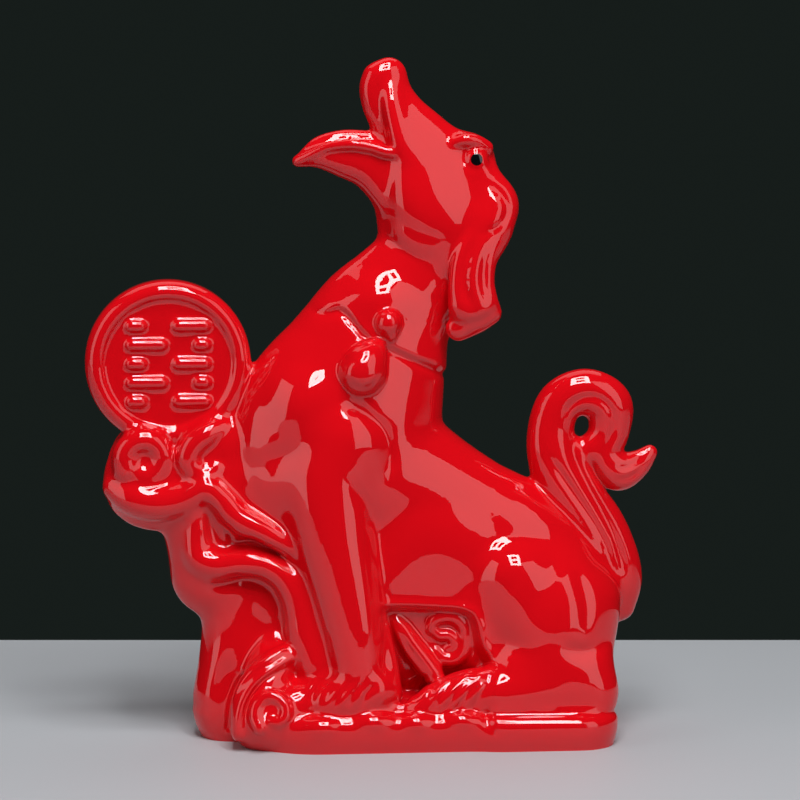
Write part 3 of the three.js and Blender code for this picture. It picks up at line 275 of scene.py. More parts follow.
def terrace(outline, depth, edge):
    """Sets both flanks back by a depth inside an outline of [x, z] points."""
    outline = np.array(outline) * SHARE
    low = np.array([outline[:, 0].min(), -FIGURE_HEIGHT, outline[:, 1].min()]) - TERRACE_REACH * edge
    high = np.array([outline[:, 0].max(), FIGURE_HEIGHT, outline[:, 1].max()]) + TERRACE_REACH * edge

    def rule(distance, x, y, z):
        nearest = np.inf
        inside = np.zeros(np.broadcast_shapes(x.shape, z.shape), dtype=bool)
        for (ax, az), (bx, bz) in zip(outline, np.roll(outline, -1, axis=0)):
            dx, dz = bx - ax, bz - az
            t = np.clip(((x - ax) * dx + (z - az) * dz) / (dx * dx + dz * dz), 0, 1)
            nearest = np.minimum(nearest, np.hypot(x - ax - dx * t, z - az - dz * t))
            crosses = (az > z) != (bz > z)
            inside ^= crosses & (x - ax < (z - az) * dx / (dz if dz else 1))
        signed = np.where(inside, -nearest, nearest)
        return distance + depth * (1 - np.tanh(signed / edge)) / 2

    clay.change(low, high, True, rule)


def face(centre, azimuth, elevation, reach, softness):
    """Trims both flanks to a plane through a point, within reach of it. The plane faces the given way."""
    centre = np.array(centre) * SHARE
    reach = reach * SHARE
    normal = direction(azimuth, elevation)

    def rule(distance, x, y, z):
        dx, dy, dz = x - centre[0], y - centre[1], z - centre[2]
        beyond = dx * normal[0] + dy * normal[1] + dz * normal[2]
        return soft_max(distance, beyond, softness)

    clay.change(centre - reach, centre + reach, True, rule)


def spiral(centre, start, turn, outer, inner, radius, tip):
    """Points of a spiral in the picture plane, from its outer end inwards."""
    steps = 9
    points = []
    for i in range(steps + 1):
        t = i / steps
        angle = math.radians(start + turn * t)
        reach = outer + (inner - outer) * t
        thickness = radius + (tip - radius) * t
        points.append([centre[0] + reach * math.cos(angle), centre[1],
                       centre[2] + reach * math.sin(angle), thickness])
    return points


def plinth():
    low = (PLINTH_CENTRE_X - PLINTH_LENGTH, -PLINTH_DEPTH, -PLINTH_HEIGHT)
    high = (PLINTH_CENTRE_X + PLINTH_LENGTH, PLINTH_DEPTH, PLINTH_HEIGHT + 2 * GLAZE_FILLET)

    def rule(distance, x, y, z):
        coin_end = x < PLINTH_CENTRE_X
        corner = np.where(coin_end, PLINTH_COIN_CORNER, PLINTH_TAIL_CORNER)
        set_in = PLINTH_SET_IN * (1 - np.tanh((x - PLINTH_STEP_X) / PLINTH_STEP_SOFTNESS)) / 2
        qx = np.abs(x - PLINTH_CENTRE_X) - PLINTH_LENGTH / 2 + corner
        qy = np.abs(y) - PLINTH_DEPTH / 2 + set_in + corner
        plan = rounded_corner(qx, qy, corner)
        roll = rounded_corner(plan + PLINTH_EDGE, z - PLINTH_HEIGHT + PLINTH_EDGE, PLINTH_EDGE)
        foot = PLINTH_UNDERCUT * np.clip(1 - z / PLINTH_UNDERCUT_HEIGHT, 0, 1) ** 2
        undercut = foot * np.clip(1 + plan / PLINTH_UNDERCUT_REACH, 0, 1)
        return soft_min(distance, roll + undercut, GLAZE_FILLET)

    clay.change(low, high, False, rule)
    # the plain roll ends in a crease, and low humps and blades of grass follow it
    line([[11.4, 7, 0.4], [10.8, 5.6], [10.9, 4.2], [11.6, 3, 0.3]], depth=1.3, width=1.5)
    for x, z, radius in ((7.4, 4.5, 2.6), (0.6, 4.2, 2.2), (-5.6, 4.5, 2.8), (-13, 3.8, 2.6)):
        egg((x, -13.3, z), (radius, 2, 1.4), fillet=2.4)
    for i in range(6):
        x = -4.4 + 1.2 * i
        limb([[x, -12.6, 5.4, 0.5], [x + 1, -12.2, 6.7, 0.6], [x + 2.4, -12, 6.4, 0.5]], fillet=0.9)


def trunk():
    limb([[4.8, 0, 74, 7], [2.2, 0, 68.6, 7.8], [-3.5, 0, 60.5, 10.1], [-7, 0, 52.5, 12.9],
          [-10, 0, 45.3, 15.4], [-10.7, 0, 40, 15.2]], flat=0.64, fillet=2.5)
    limb([[-0.2, 0, 79, 4], [0.1, 0, 75.5, 4], [1.9, 0, 71, 4]], flat=0.8, fillet=3)
    limb([[-9.6, 0, 41.8, 14], [-0.9, 0, 35.8, 12.2], [7.7, 0, 30.4, 11.5], [15.4, 0, 25, 12.4],
          [21.3, 0, 19.4, 11]], flat=0.7, fillet=2)
    # the ruff of the neck, and the breast that swells above the forelegs
    egg((-3.6, -3.2, 64.4), (4.4, 3.4, 3.6), fillet=5)
    egg((-14.4, -3.4, 49.4), (6.2, 6.2, 6.6), fillet=4)
    line([[-20.6, 41, 0.3], [-18.3, 42.3], [-15.9, 42.9], [-13.9, 42.6, 0.8], [-12.2, 41.8, 0.2]],
         depth=1.6, width=4)


def under_belly():
    """The wall between the legs, with a breaking wave in a panel that is set back."""
    egg((3.5, 0, 20), (15, 12.5, 17), fillet=6, half=BELLY_WALL)
    egg((13, 0, 16), (9, 12, 11), fillet=5, half=BELLY_WALL + 0.8)
    terrace([[-6, 20.4], [-2.8, 20], [0.8, 20], [4.1, 19.8], [7.4, 19.5], [8.8, 19], [9.3, 17.7], [9.6, 16],
             [10.2, 14], [11.2, 12.7], [12.2, 11.6], [12, 7], [-6, 7]], depth=PANEL_DEPTH, edge=0.9)
    line([[-4, 21], [0.6, 20.8], [4.4, 20.5], [8, 20.2], [9.6, 19.2], [10.3, 17.4], [10.6, 15.8],
          [11.2, 14.2], [12.4, 12.8, 0.3]], depth=-0.8, width=1.2)
    floor = -BELLY_WALL + PANEL_DEPTH / SHARE
    limb([[-2, floor + 0.2, 18.6, 0.7], [-0.8, floor - 0.2, 16.4, 1.3], [0.7, floor - 0.4, 14, 1.6],
          [2.4, floor - 0.6, 11.8, 1.7], [3.6, floor - 0.8, 10, 1.7]], fillet=1)
    line([[-1.4, 17.2, 0.2], [-0.4, 14.9], [0.9, 13], [2.6, 10.9, 0.4]], depth=1.1, width=0.8)
    limb([[3.2, floor, 16.6, 0.7], [3.7, floor - 0.1, 18, 0.9], [5.2, floor - 0.1, 18.6, 1],
          [7.1, floor - 0.1, 18.3, 1.1], [8.2, floor - 0.1, 16.9, 1.1], [8.4, floor - 0.1, 15, 1.2],
          [7.8, floor - 0.1, 13.2, 1.2], [6.4, floor - 0.1, 12.2, 1.1], [4.8, floor - 0.1, 12.6, 0.9],
          [3.9, floor, 13.8, 0.6]], fillet=0.8)
    limb([[3.9, floor - 0.1, 16.4, 0.7], [4.7, floor - 0.2, 15.8, 0.8], [5.7, floor - 0.2, 15.9, 0.8],
          [6.6, floor - 0.2, 15.2, 0.8], [6.6, floor - 0.2, 14.2, 0.7], [5.6, floor - 0.1, 13.9, 0.6]],
         fillet=0.6)


def collar():
    """A band that stands out along its lower edge, over a groove, and thins away up the neck."""
    normal = np.array([0.437, 0, 0.9])  # the way that the neck points
    middle = np.array([-2, 0, 61.5]) * SHARE
    lower_edge = 51.2 * SHARE
    reach = 16 * SHARE
    # the lower edge rises over a short stretch beside the bell
    rise = 1.9 * SHARE
    rise_x = -9.4 * SHARE
    rise_width = 2.2 * SHARE
    # towards throat and nape the band fades, over these distances in hundredths of the height
    throat_x, throat_fade = -14, 3
    nape_x, nape_fade, nape_share = 9, 4, 0.25
    band = 1.4 * COLLAR_WIDTH  # over which it thins away
    step_width = 0.7
    groove_place = -1  # below the edge
    groove_width = 1.2

    def rule(distance, x, y, z):
        lift = rise * np.exp(-((x - rise_x) / rise_width) ** 2)
        along = x * normal[0] + z * normal[2] - lower_edge - lift
        throat = np.clip((x / SHARE - throat_x) / throat_fade, 0, 1)
        nape = np.clip((nape_x - x / SHARE) / nape_fade, nape_share, 1)
        shown = throat * nape
        fade = shown * np.clip(1 - along / band, 0, 1)
        step = (1 + np.tanh(along / step_width)) / 2
        groove = COLLAR_GROOVE * shown * np.exp(-((along - groove_place) / groove_width) ** 2)
        return distance + groove - COLLAR_THICKNESS * fade * step

    clay.change(middle - reach, middle + reach, False, rule)


def hair(roots, tips, bend):
    """Grooves between strands, from a row of roots to a row of tips. A row is given by its ends, (x, z)."""
    grooves = 5
    for i in range(grooves):
        share = i / (grooves - 1)
        root = [a + (b - a) * share for a, b in zip(*roots)]
        tip = [a + (b - a) * share for a, b in zip(*tips)]
        middle = [(root[0] + tip[0]) / 2 - bend, (root[1] + tip[1]) / 2 + 0.3 * bend]
        line([[*root, 0.2], [*middle, 1], [*tip, 0.6]], depth=1.2, width=1)


def front_legs():
    limb([[-9.9, -5.4, 43.8, 7], [-11.4, -6.1, 38.4, 6.8], [-10.8, -7.6, 31, 5.8], [-9.4, -8.9, 24, 4.9],
          [-8.2, -9.9, 17.6, 4.3], [-7.6, -10.7, 12, 3.7]], flat=0.85, fillet=4)
    limb([[-5.2, -8.4, 23, 1], [-4.2, -9, 17, 1.4], [-3.4, -9.8, 12, 1.7], [-3, -10.6, 8, 1.9]], fillet=1.8)
    line([[-9.5, 50.6, 0.2], [-8.1, 50], [-6.7, 49.2], [-5.3, 48], [-4.1, 46.8], [-3.4, 45.5], [-2.9, 43.7],
          [-2.8, 41.8], [-3, 39.6, 0.2]], depth=1.3, width=2.2)
    line([[-8.5, 39.3, 0.3], [-7.4, 37.3], [-6.2, 35.2], [-5.8, 33.4], [-5.7, 31.7, 0.3]], depth=1, width=2)
    line([[-6.4, 31.1, 0.2], [-5.8, 26.3], [-5.4, 21.9], [-5.1, 17.6], [-4.9, 13, 0.2]], depth=0.8, width=1.3)
    # the paw, low and broad, with hair that sweeps forward
    limb([[-5.6, -10.8, 8.6, 3.5], [-9, -11.2, 8, 3.6], [-11.8, -11.2, 7.2, 3]], flat=0.95, fillet=2.6)
    limb([[-9, -8.6, 11.4, 2.4], [-11.6, -9.4, 10, 2.2], [-14, -10.4, 8.4, 1.8], [-15.2, -11, 6.8, 1.4]],
         fillet=2)
    hair(((-11.6, 11), (-5.2, 10)), ((-14.8, 7.8), (-7.4, 7.2)), bend=0.4)


def hind_legs():
    egg((20.9, -5.4, 20.4), (9.2, 6.6, 8.2), tilt=-20, fillet=7)
    egg((17.2, -5.6, 23.8), (4.4, 5.4, 5), tilt=-30, fillet=5)
    limb([[15, -7.8, 24.6, 4.4], [17.2, -8.6, 19.4, 4.3], [20.2, -8.9, 14.8, 4.6], [24, -8.6, 11.6, 4.6]],
         flat=0.9, fillet=6)
    egg((22.6, -7, 17), (6.6, 5.9, 8), fillet=6)
    limb([[26.4, -4.6, 20, 5.2], [26.4, -6, 15, 4.2], [26, -8, 10.6, 3.4], [26.6, -9, 7.4, 3.4]], fillet=4)
    limb([[26.8, -9.8, 7.6, 3.4], [22, -10.2, 8, 3.6], [17, -10.6, 8, 3.4], [12.6, -10.8, 7.6, 3.1]],
         flat=1.1, fillet=6)
    limb([[15.6, -9.4, 11, 3.2], [20.4, -9.7, 11.6, 3.6], [25.4, -9.2, 11, 3.8]], fillet=6)
    # a shallow fold in the haunch, the hock, and the crease between foot and plinth
    line([[24, 26, 0.2], [25, 23.4], [25.6, 20.4], [25.4, 17, 0.2]], depth=1, width=2.6)
    line([[21.8, 15.2, 0.2], [23.6, 14.3], [25.6, 14], [28, 14.4, 0.3]], depth=1.2, width=2.6)
    line([[8, 5.4, 0.3], [14, 5.3], [22.4, 5.1], [28.6, 4.9], [32, 4.7]], depth=0.8, width=1)
    # the toes, under hair that sweeps forward
    limb([[12.4, -10.4, 8.6, 3.1], [8.4, -10.8, 8.2, 3.2], [4.6, -11.2, 7.4, 2.8], [1.4, -11.6, 6.4, 2]],
         flat=1.05, fillet=2.4)
    hair(((3.6, 10.8), (11.2, 10.8)), ((0.4, 7.4), (6.4, 6.2)), bend=0.5)
    line([[11.8, 11, 0.2], [10.8, 9.2], [9.4, 7.6], [8.8, 6.2, 0.4]], depth=1, width=1.2)


def tail():
    limb([[32.2, 0, 18.5, 2.4], [31.8, 0, 22.6, 3.8], [29.7, 0, 27.6, 4.6], [26.3, 0, 33.6, 4.7],
          [22.9, 0, 39.7, 4.3], [21.8, 0, 44.9, 3.5], [23.3, 0, 49.1, 3.4], [26.9, 0, 50.5, 3.5],
          [30.3, 0, 48.6, 3.6], [30.5, 0, 44.8, 3.1], [29.6, 0, 41.4, 2.9], [31.8, 0, 38.7, 3],
          [34.6, 0, 39.6, 2.1], [36.6, 0, 41.4, 1.2]], flat=0.8)
    limb([[25.4, 0, 41.2, 2.2], [28, 0, 42, 2.4]], flat=0.8)
    # the parting of the hair
    line([[24.4, 44.4, 0.3], [24.8, 41.4], [26.6, 37.4], [28.8, 33.4], [30.8, 29.4], [32, 26],
          [32.6, 22.8, 0.2]], depth=1.5, width=1.7)
    line([[21.4, 41.2, 0.2], [23, 38.6], [25.6, 34.8], [27.9, 31.4], [29.8, 27.8], [30.9, 24, 0.2]],
         depth=1.4, width=1.5)
    line([[27.6, 40.6, 0.3], [28.4, 38.4], [29.8, 35.8], [31.4, 32.8, 0.2]], depth=1, width=1.3)
    line([[23.6, 47, 0.2], [24.2, 48.6], [25.8, 49.8], [28, 50], [29.8, 48.9], [30.8, 46.8], [30.6, 44.4],
          [29.6, 42, 0.2]], depth=1, width=1.2)
    for rise in (0, 1.6):
        line([[31, 38 + rise, 0.2], [32.6, 37.8 + rise], [34.4, 38.6 + rise], [35.6, 39.9 + rise, 0.2]],
             depth=0.9, width=0.9)
    line([[13.5, 38, 0.2], [17.5, 36.6], [22, 33.6], [25.8, 29.8, 0.2]], depth=0.7, width=1.8)


def rock():
    limb([[-38.3, 0, 40.8, 5.2], [-38, 0, 37.4, 6], [-32.5, 0, 36.6, 5.8], [-27, 0, 38, 6]],
         flat=0.72, fillet=4)
    limb([[-31, 0, 40, 5.6], [-27, 0, 43, 6]], flat=0.75, fillet=4)
    limb([[-30.1, 0, 34, 6], [-28.5, 0, 28, 6.4], [-27.9, 0, 24.4, 6.6]], flat=0.8, fillet=3)
    limb([[-25.6, 0, 23.6, 5.6], [-23.6, 0, 17, 6.4], [-22.8, 0, 10, 7.8], [-22.3, 0, 4.8, 9.2]],
         flat=0.82, fillet=3, half=5.6)
    limb([[-24, 0, 36, 7], [-18, 0, 28, 8], [-14, 0, 18, 9], [-11, 0, 8, 10]], flat=0.8, fillet=4, half=5.6)
    limb([[-15.6, -4, 26, 3.6], [-13.4, -5, 19, 4], [-12, -6, 12, 4.4]], fillet=4)
    # the body of the wave at the front corner
    limb([[-19.4, -4.5, 13.4, 2.8], [-20.4, -7, 9.4, 4], [-21.6, -8.2, 4, 4.8]], fillet=3)
    limb([[-12.6, -7.8, 7, 3.6], [-17.2, -9.2, 5.6, 4], [-20.6, -9.8, 3.8, 4]], fillet=2)
    # the two scrolls under the coin
    limb(spiral((-38.2, -2.9, 41.7), start=210, turn=-420, outer=3, inner=2.3, radius=1.9, tip=1.5),
         fillet=1.8)
    limb([[-26.9, -3, 46.4, 1.2], [-29, -3.5, 45.4, 1.8], [-31, -3.7, 43.9, 1.9], [-31.8, -3.7, 41.9, 1.9],
          [-31, -3.7, 40.2, 1.8], [-29.2, -3.9, 39.5, 1.6], [-27.9, -3.9, 40.3, 1.3]], fillet=1.6)
    # folds that fall from the shelf
    limb([[-42.6, -1.8, 37.4, 1.6], [-40, -3, 36, 2.3], [-36.4, -3.6, 35.3, 2.5], [-32.6, -4, 35.9, 2.3],
          [-29.2, -4.5, 37.4, 2.1], [-26.9, -4.9, 35.7, 2], [-24.9, -5.5, 33.4, 2.1], [-22, -5.9, 31.7, 2.2],
          [-19.4, -6.1, 30.2, 2.2], [-17.2, -6.4, 28.5, 1.8], [-15.4, -6.7, 26.6, 1.2]], fillet=2.6)
    limb([[-30.8, -3.6, 35, 1.6], [-30.6, -3.7, 32, 1.7], [-30.8, -3.8, 29.6, 1.8], [-30.4, -4, 27.4, 2.1],
          [-28, -4.4, 26.2, 2.4], [-24.3, -5, 26.6, 2.3], [-20.8, -5.5, 26.3, 2.3], [-18.2, -5.8, 24.8, 2.5],
          [-16.4, -6.2, 22.4, 2.7], [-15.3, -6.6, 19.4, 2.9], [-14.7, -7, 16, 3.1], [-13.4, -7.6, 12, 3.2]],
         fillet=2.6)
    line([[-29, 34.6, 0.3], [-28.4, 32], [-27.8, 30], [-26.8, 28.8, 0.4]], depth=1.6, width=2.4)
    line([[-26.5, 33, 0.2], [-26, 31], [-25, 29.6, 0.3]], depth=0.8, width=1.4)
    line([[-25, 29.2, 0.4], [-23, 29.8], [-20.8, 29], [-18.4, 27.8], [-16.4, 26.2, 0.4]], depth=1.8, width=2)
    line([[-29.4, 23.6, 0.2], [-27.4, 23.4], [-24.8, 23.8], [-22.3, 23.6], [-20.4, 22.6], [-19.3, 20.8, 0.6],
          [-18.8, 19, 0.2]], depth=1.4, width=2.6)
    # a hollow leaf in the pillar
    limb([[-24.6, -6.2, 21.8, 0.5], [-23.1, -6.6, 19.8, 1.3], [-21.7, -7, 17.8, 1.8],
          [-20.8, -7.6, 15.9, 1.3], [-20.4, -8.2, 14.6, 0.5]], fillet=1.6, carve=True)
    line([[-26.2, 12.4, 0.2], [-26.6, 10.4], [-27.4, 8.2], [-28.2, 6, 0.2]], depth=0.9, width=2.4)
    # the wave: its hooked crest, two lips and a curl
    limb([[-15.4, -6.6, 13.4, 1.4], [-17.6, -7.8, 13.2, 1.9], [-20, -9, 12.2, 2], [-22.2, -9.8, 10.6, 1.9],
          [-23.8, -10.4, 8.6, 1.7], [-24.8, -10.8, 6, 1.6], [-25, -11, 3, 1.6]], fillet=1.6)
    line([[-17.4, 14.2, 0.2], [-19.6, 13, 1], [-22.4, 11.4, 1], [-24.6, 9, 1], [-25.8, 6, 1], [-26.3, 2, 1]],
         depth=1.3, width=0.9)
    line([[-16.6, 12.6, 0.3], [-18.8, 11.7], [-21.4, 10.3], [-23.2, 8.3], [-24.2, 5.8], [-24.4, 2.8, 0.4]],
         depth=1.3, width=0.8)
    curl_x, curl_z = -20, 5.9
    curl = spiral((curl_x, -13, curl_z), start=225, turn=-330, outer=2.9, inner=1.2, radius=1.1, tip=0.8)
    for point in curl:
        # it leans back upwards, and turns with the corner of the plinth
        point[1] += 0.4 * (point[2] - curl_z) - 0.19 * (point[0] - curl_x)
    limb(curl, fillet=1)
    limb([[-15.8, -9.2, 7, 1.3], [-14.4, -9.8, 5.4, 1.4], [-15, -10.6, 4, 1.3]], fillet=1.4)


def strokes_distance(x, y, z):
    """Raised bars in rows on the coin's face, two to a row. The gap between them moves from row to row."""
    radius = STROKE_WIDTH / 2
    end = STROKE_ROW_LENGTH / 2
    slope = 0.8  # makes up for the bars' flattened section
    best = np.inf
    for row in range(STROKE_ROWS):
        height = (row - (STROKE_ROWS - 1) / 2) * STROKE_PITCH
        gap = STROKE_ROW_LENGTH * STROKE_GAPS[row % 2]
        for left, right in ((-end, gap - STROKE_WIDTH), (gap + STROKE_WIDTH, end)):
            past = np.maximum(np.maximum(left + radius - x, x - right + radius), 0)
            lift = y * radius / STROKE_HEIGHT
            own = (np.sqrt(past * past + lift * lift + (z - height) ** 2) - radius) * slope
            best = np.minimum(best, own)
    return best


def coin():
    """A disc with a dish on both faces, and the raised marks on the near one."""
    radius, half = COIN_DIAMETER / 2, COIN_THICKNESS / 2
    edge = half * COIN_EDGE
    room = 4  # round the coin, for its fillets
    reach = np.array([radius + room, half + room, radius + room])

    def rule(distance, x, y, z):
        away = np.hypot(x - COIN_CENTRE[0], z - COIN_CENTRE[2])
        own = rounded_corner(away - radius + edge, np.abs(y) - half + edge, edge)
        slope = (away - radius + COIN_RIM_WIDTH) * COIN_SLOPE
        dish = np.maximum(slope, half - COIN_RECESS_DEPTH - np.abs(y))
        own = soft_max(own, -dish, COIN_SOFTNESS)
        strokes = strokes_distance(x - COIN_CENTRE[0], y + half - COIN_RECESS_DEPTH, z - COIN_CENTRE[2])
        own = soft_min(own, strokes, STROKE_FILLET)
        return soft_min(distance, own, GLAZE_FILLET)

    clay.change(COIN_CENTRE - reach, COIN_CENTRE + reach, False, rule)


def head():
    limb([[6.1, 0, 73.5, 6.8], [5.3, 0, 79.5, 8.6], [2.4, 0, 86.4, 5.6], [-0.3, 0, 91.2, 3.7],
          [-1.6, 0, 94.5, 2.8], [-2.2, 0, 97.2, 2.6]], flat=0.9, fillet=3, half=6)
    # the palate is a narrower body behind the ridge of the muzzle
    limb([[-4.2, 0, 97, 1.9], [-4.6, 0, 95.4, 1.95], [-4.3, 0, 93, 1.9], [-3.3, 0, 90, 1.7],
          [-2.8, 0, 87.6, 1.6]], fillet=2.6)
    # the cheek, and the ridge of the lip: the face falls back from it in one plane
    egg((4.6, -2.6, 79.2), (6.8, 4, 7), fillet=3)
    limb([[-1.9, -1.7, 95.4, 1.1], [-1.7, -2.6, 93.5, 1.5], [-1.1, -3.3, 90.6, 1.7], [-0.2, -3.6, 87.6, 1.9],
          [1.6, -3.4, 84.6, 1.8]], fillet=3)
    egg((9.2, 0, 84.9), (4.1, 4.6, 4), fillet=3)
    face((7.7, -4.6, 81.7), azimuth=15, elevation=16, reach=19, softness=4)
    limb([[1, 0, 80.2, 5.4], [-4.5, 0, 84.1, 3.8], [-8.6, 0, 85.1, 2.8], [-12.6, 0, 85.6, 1.8],
          [-15.4, 0, 84.8, 0.9]], flat=1.1, half=3.6)
    # the tongue, and the lips beside it
    limb([[-2.4, 0, 87.6, 1.3], [-5.5, 0, 88, 1.2], [-9, 0, 88.1, 1.2], [-12.6, 0, 87.3, 1],
          [-14.5, 0, 86.1, 0.6]], fillet=1)
    limb([[-1, -3.9, 86, 0.5], [-2.8, -3.8, 86.2, 0.8], [-5, -3.4, 86.9, 0.8], [-8, -3, 87.3, 0.8],
          [-11.6, -2.2, 86.8, 0.7], [-13.6, -1.5, 85.8, 0.7], [-15.7, -0.5, 84.8, 0.6]], fillet=1.2)
    # the roll under the cheek along the lower jaw
    limb([[-1.2, -1.2, 77, 1.4], [-0.2, -2.6, 75.1, 2], [1.8, -3, 73.4, 2.4], [4.2, -3, 72.9, 2.4],
          [6.6, -2.8, 73.6, 2.2], [8.4, -2.6, 75.4, 1.6]], fillet=2.4)
    # the brow, the eye's hollow, the eyeball and its lower lid
    limb([[7.2, -3, 87.6, 0.7], [8.6, -3.1, 87.9, 1], [10.2, -2.8, 87.6, 1.1], [11.8, -2.1, 86.7, 1.1]],
         fillet=2)
    egg((10.3, -4.6, 85.1), (2.5, 1.5, 2.2), fillet=2, carve=True)
    egg((10.2, -3, 85.1), (1.7, 1.2, 1.7), fillet=0.5)
    limb([[8.3, -3.4, 83.9, 0.4], [9.7, -3.4, 82.9, 0.5], [11.4, -3.2, 83.1, 0.4]], fillet=1.2)


def ears():
    limb([[11.4, -1.8, 82.2, 2.2], [13.3, -2.7, 78.6, 3.2], [12.5, -3.6, 75.8, 3.2]], flat=0.8, fillet=5)
    limb([[12.9, -3.5, 76.8, 2.8], [12.2, -4, 74.8, 3.2], [9.9, -5.2, 71, 3.3], [9.3, -5.8, 67.2, 3.4],
          [9.5, -6, 64.3, 3.7]], flat=0.62, fillet=1.6)
    limb([[12.1, -5.6, 62.9, 1.7], [9.8, -5.6, 61.7, 1.9], [7.5, -5.4, 60.8, 2]], flat=0.7, fillet=2.4)
    # the ear's root, its folds, and the facet along its lower end
    line([[12.1, 81.6, 0.3], [13.6, 80.2], [14.5, 78.5], [14.2, 76.7], [12.9, 75.3], [11, 74.2, 0.2]],
         depth=0.9, width=1.3)
    line([[10.2, 74.4, 0.2], [8.9, 71.8], [8.1, 69], [8.2, 66.2], [9.2, 63.8, 0.3]], depth=1.4, width=1.9)
    line([[11.6, 73, 0.2], [11, 70], [10.9, 67], [11.6, 64.4, 0.3]], depth=1.1, width=1.6)
    line([[5.6, 61.8, 0.4], [8, 61.5], [10.8, 62.2], [13, 63.6, 0.4]], depth=0.7, width=1.2)


def bells():
    """A round bell with its neck, rim and slot, and a knob above it, on the near side alone."""
    wide = BELL_DIAMETER / 2 / SHARE
    knob = KNOB_DIAMETER / 2 / SHARE
    x, z = -6.9, 54.6
    egg((x, -8.1, z), (wide, wide * 0.95, wide), fillet=0.7, both_sides=False)
    limb([[-6.4, -8, 55.8, 3.2], [-5.4, -7.8, 57.2, 2.2], [-4.4, -7.3, 58.6, 1.1]],
         fillet=1, both_sides=False)
    rim = []
    rim_share = 0.84  # of the bell's radius
    for degrees in range(110, 351, 20):
        angle = math.radians(degrees)
        rim.append([x + rim_share * wide * math.cos(angle), z + rim_share * wide * math.sin(angle), 1])
    rim[0][2] = rim[-1][2] = 0.2
    line(rim, depth=1.2, width=0.7, both_sides=False)
    line([[x - 2, z - 0.6, 0.2], [x - 1.3, z - 1.5], [x, z - 1.9], [x + 1.3, z - 1.5], [x + 2, z - 0.6, 0.2]],
         depth=0.9, width=0.7, both_sides=False)
    egg((-2.9, -7.1, 61.7), (knob, knob, knob), fillet=0.7, both_sides=False)
    egg((-2.5, -7.6, 59.9), (0.9, 0.9, 0.7), fillet=0.6, both_sides=False)
    line([[-1.9, 63.2, 0.2], [-1.4, 62.2], [-1.5, 61.1], [-2.2, 60.2, 0.3]],
         depth=0.7, width=0.6, both_sides=False)


def blurred(values, radius):
    """Softens a grid by a bell curve of the given radius in cells, cut off at three radii."""
    reach = int(math.ceil(3 * radius))
    weights = np.exp(-0.5 * (np.arange(-reach, reach + 1) / radius) ** 2)
    weights = (weights / weights.sum()).astype(np.float32)
    for axis in range(3):
        padding = [(reach, reach) if a == axis else (0, 0) for a in range(3)]
        padded = np.pad(values, padding, mode="edge")
        length = values.shape[axis]
        total = np.zeros_like(values)
        for offset, weight in enumerate(weights):
            part = [slice(None)] * 3
            part[axis] = slice(offset, offset + length)
            total += weight * padded[tuple(part)]
        values = total
    return values


def surface_net(values):
    """The surface where a grid of values is zero: a vertex in each cube that it passes through, and a quad
    round each edge of the grid that it crosses."""
    inside = values < 0
    corners = [(i, j, k) for i in (0, 1) for j in (0, 1) for k in (0, 1)]
    size = np.array(values.shape) - 1

    def shifted(grid, corner):
        return grid[tuple(slice(c, c + n) for c, n in zip(corner, size))]

    count = sum(shifted(inside, corner).astype(np.int8) for corner in corners)
    cubes = np.argwhere((count > 0) & (count < 8))
    at_corner = {c: values[tuple((cubes + c).T)] for c in corners}
    total = np.zeros((len(cubes), 3))
    crossings = np.zeros(len(cubes))
    for start in corners:
        for axis in range(3):
            if start[axis]:
                continue
            end = tuple(1 if a == axis else start[a] for a in range(3))
            first, second = at_corner[start], at_corner[end]
            crossed = (first < 0) != (second < 0)
            share = np.where(crossed, first / np.where(crossed, first - second, 1), 0)
            place = np.array(start, dtype=float) + share[:, None] * (np.arange(3) == axis)
            total += place * crossed[:, None]
            crossings += crossed
    vertices = cubes + total / crossings[:, None]
    index = np.full(size, -1, dtype=np.int32)
    index[tuple(cubes.T)] = np.arange(len(cubes))
    quads = []
    for axis in range(3):
        u, v = (axis + 1) % 3, (axis + 2) % 3
        first = [slice(1, n) for n in size]
        first[axis] = slice(0, size[axis])
        second = list(first)
        second[axis] = slice(1, size[axis] + 1)
        a, b = inside[tuple(first)], inside[tuple(second)]
        edges = np.argwhere(a != b)
        turned = ~a[tuple(edges.T)]
        edges += [0 if c == axis else 1 for c in range(3)]
        ring = []
        for du, dv in ((0, 0), (1, 0), (1, 1), (0, 1)):
            cell = edges.copy()
            cell[:, u] -= du
            cell[:, v] -= dv
            ring.append(index[tuple(cell.T)])
        ring = np.stack(ring, axis=1)
        ring[turned] = ring[turned, ::-1]
        quads.append(ring)
    return vertices, np.concatenate(quads)


def sampled(grid, places):
    """Reads a grid of vectors at places between its nodes."""
    base = np.clip(np.floor(places).astype(int), 0, np.array(grid.shape[:3]) - 2)
    share = places - base
    result = 0
    for i in (0, 1):
        for j in (0, 1):
            for k in (0, 1):
                weight = 1.0
                for axis, bit in enumerate((i, j, k)):
                    weight = weight * (share[:, axis] if bit else 1 - share[:, axis])
                value = grid[base[:, 0] + i, base[:, 1] + j, base[:, 2] + k]
                result = result + weight[:, None] * value
    return result


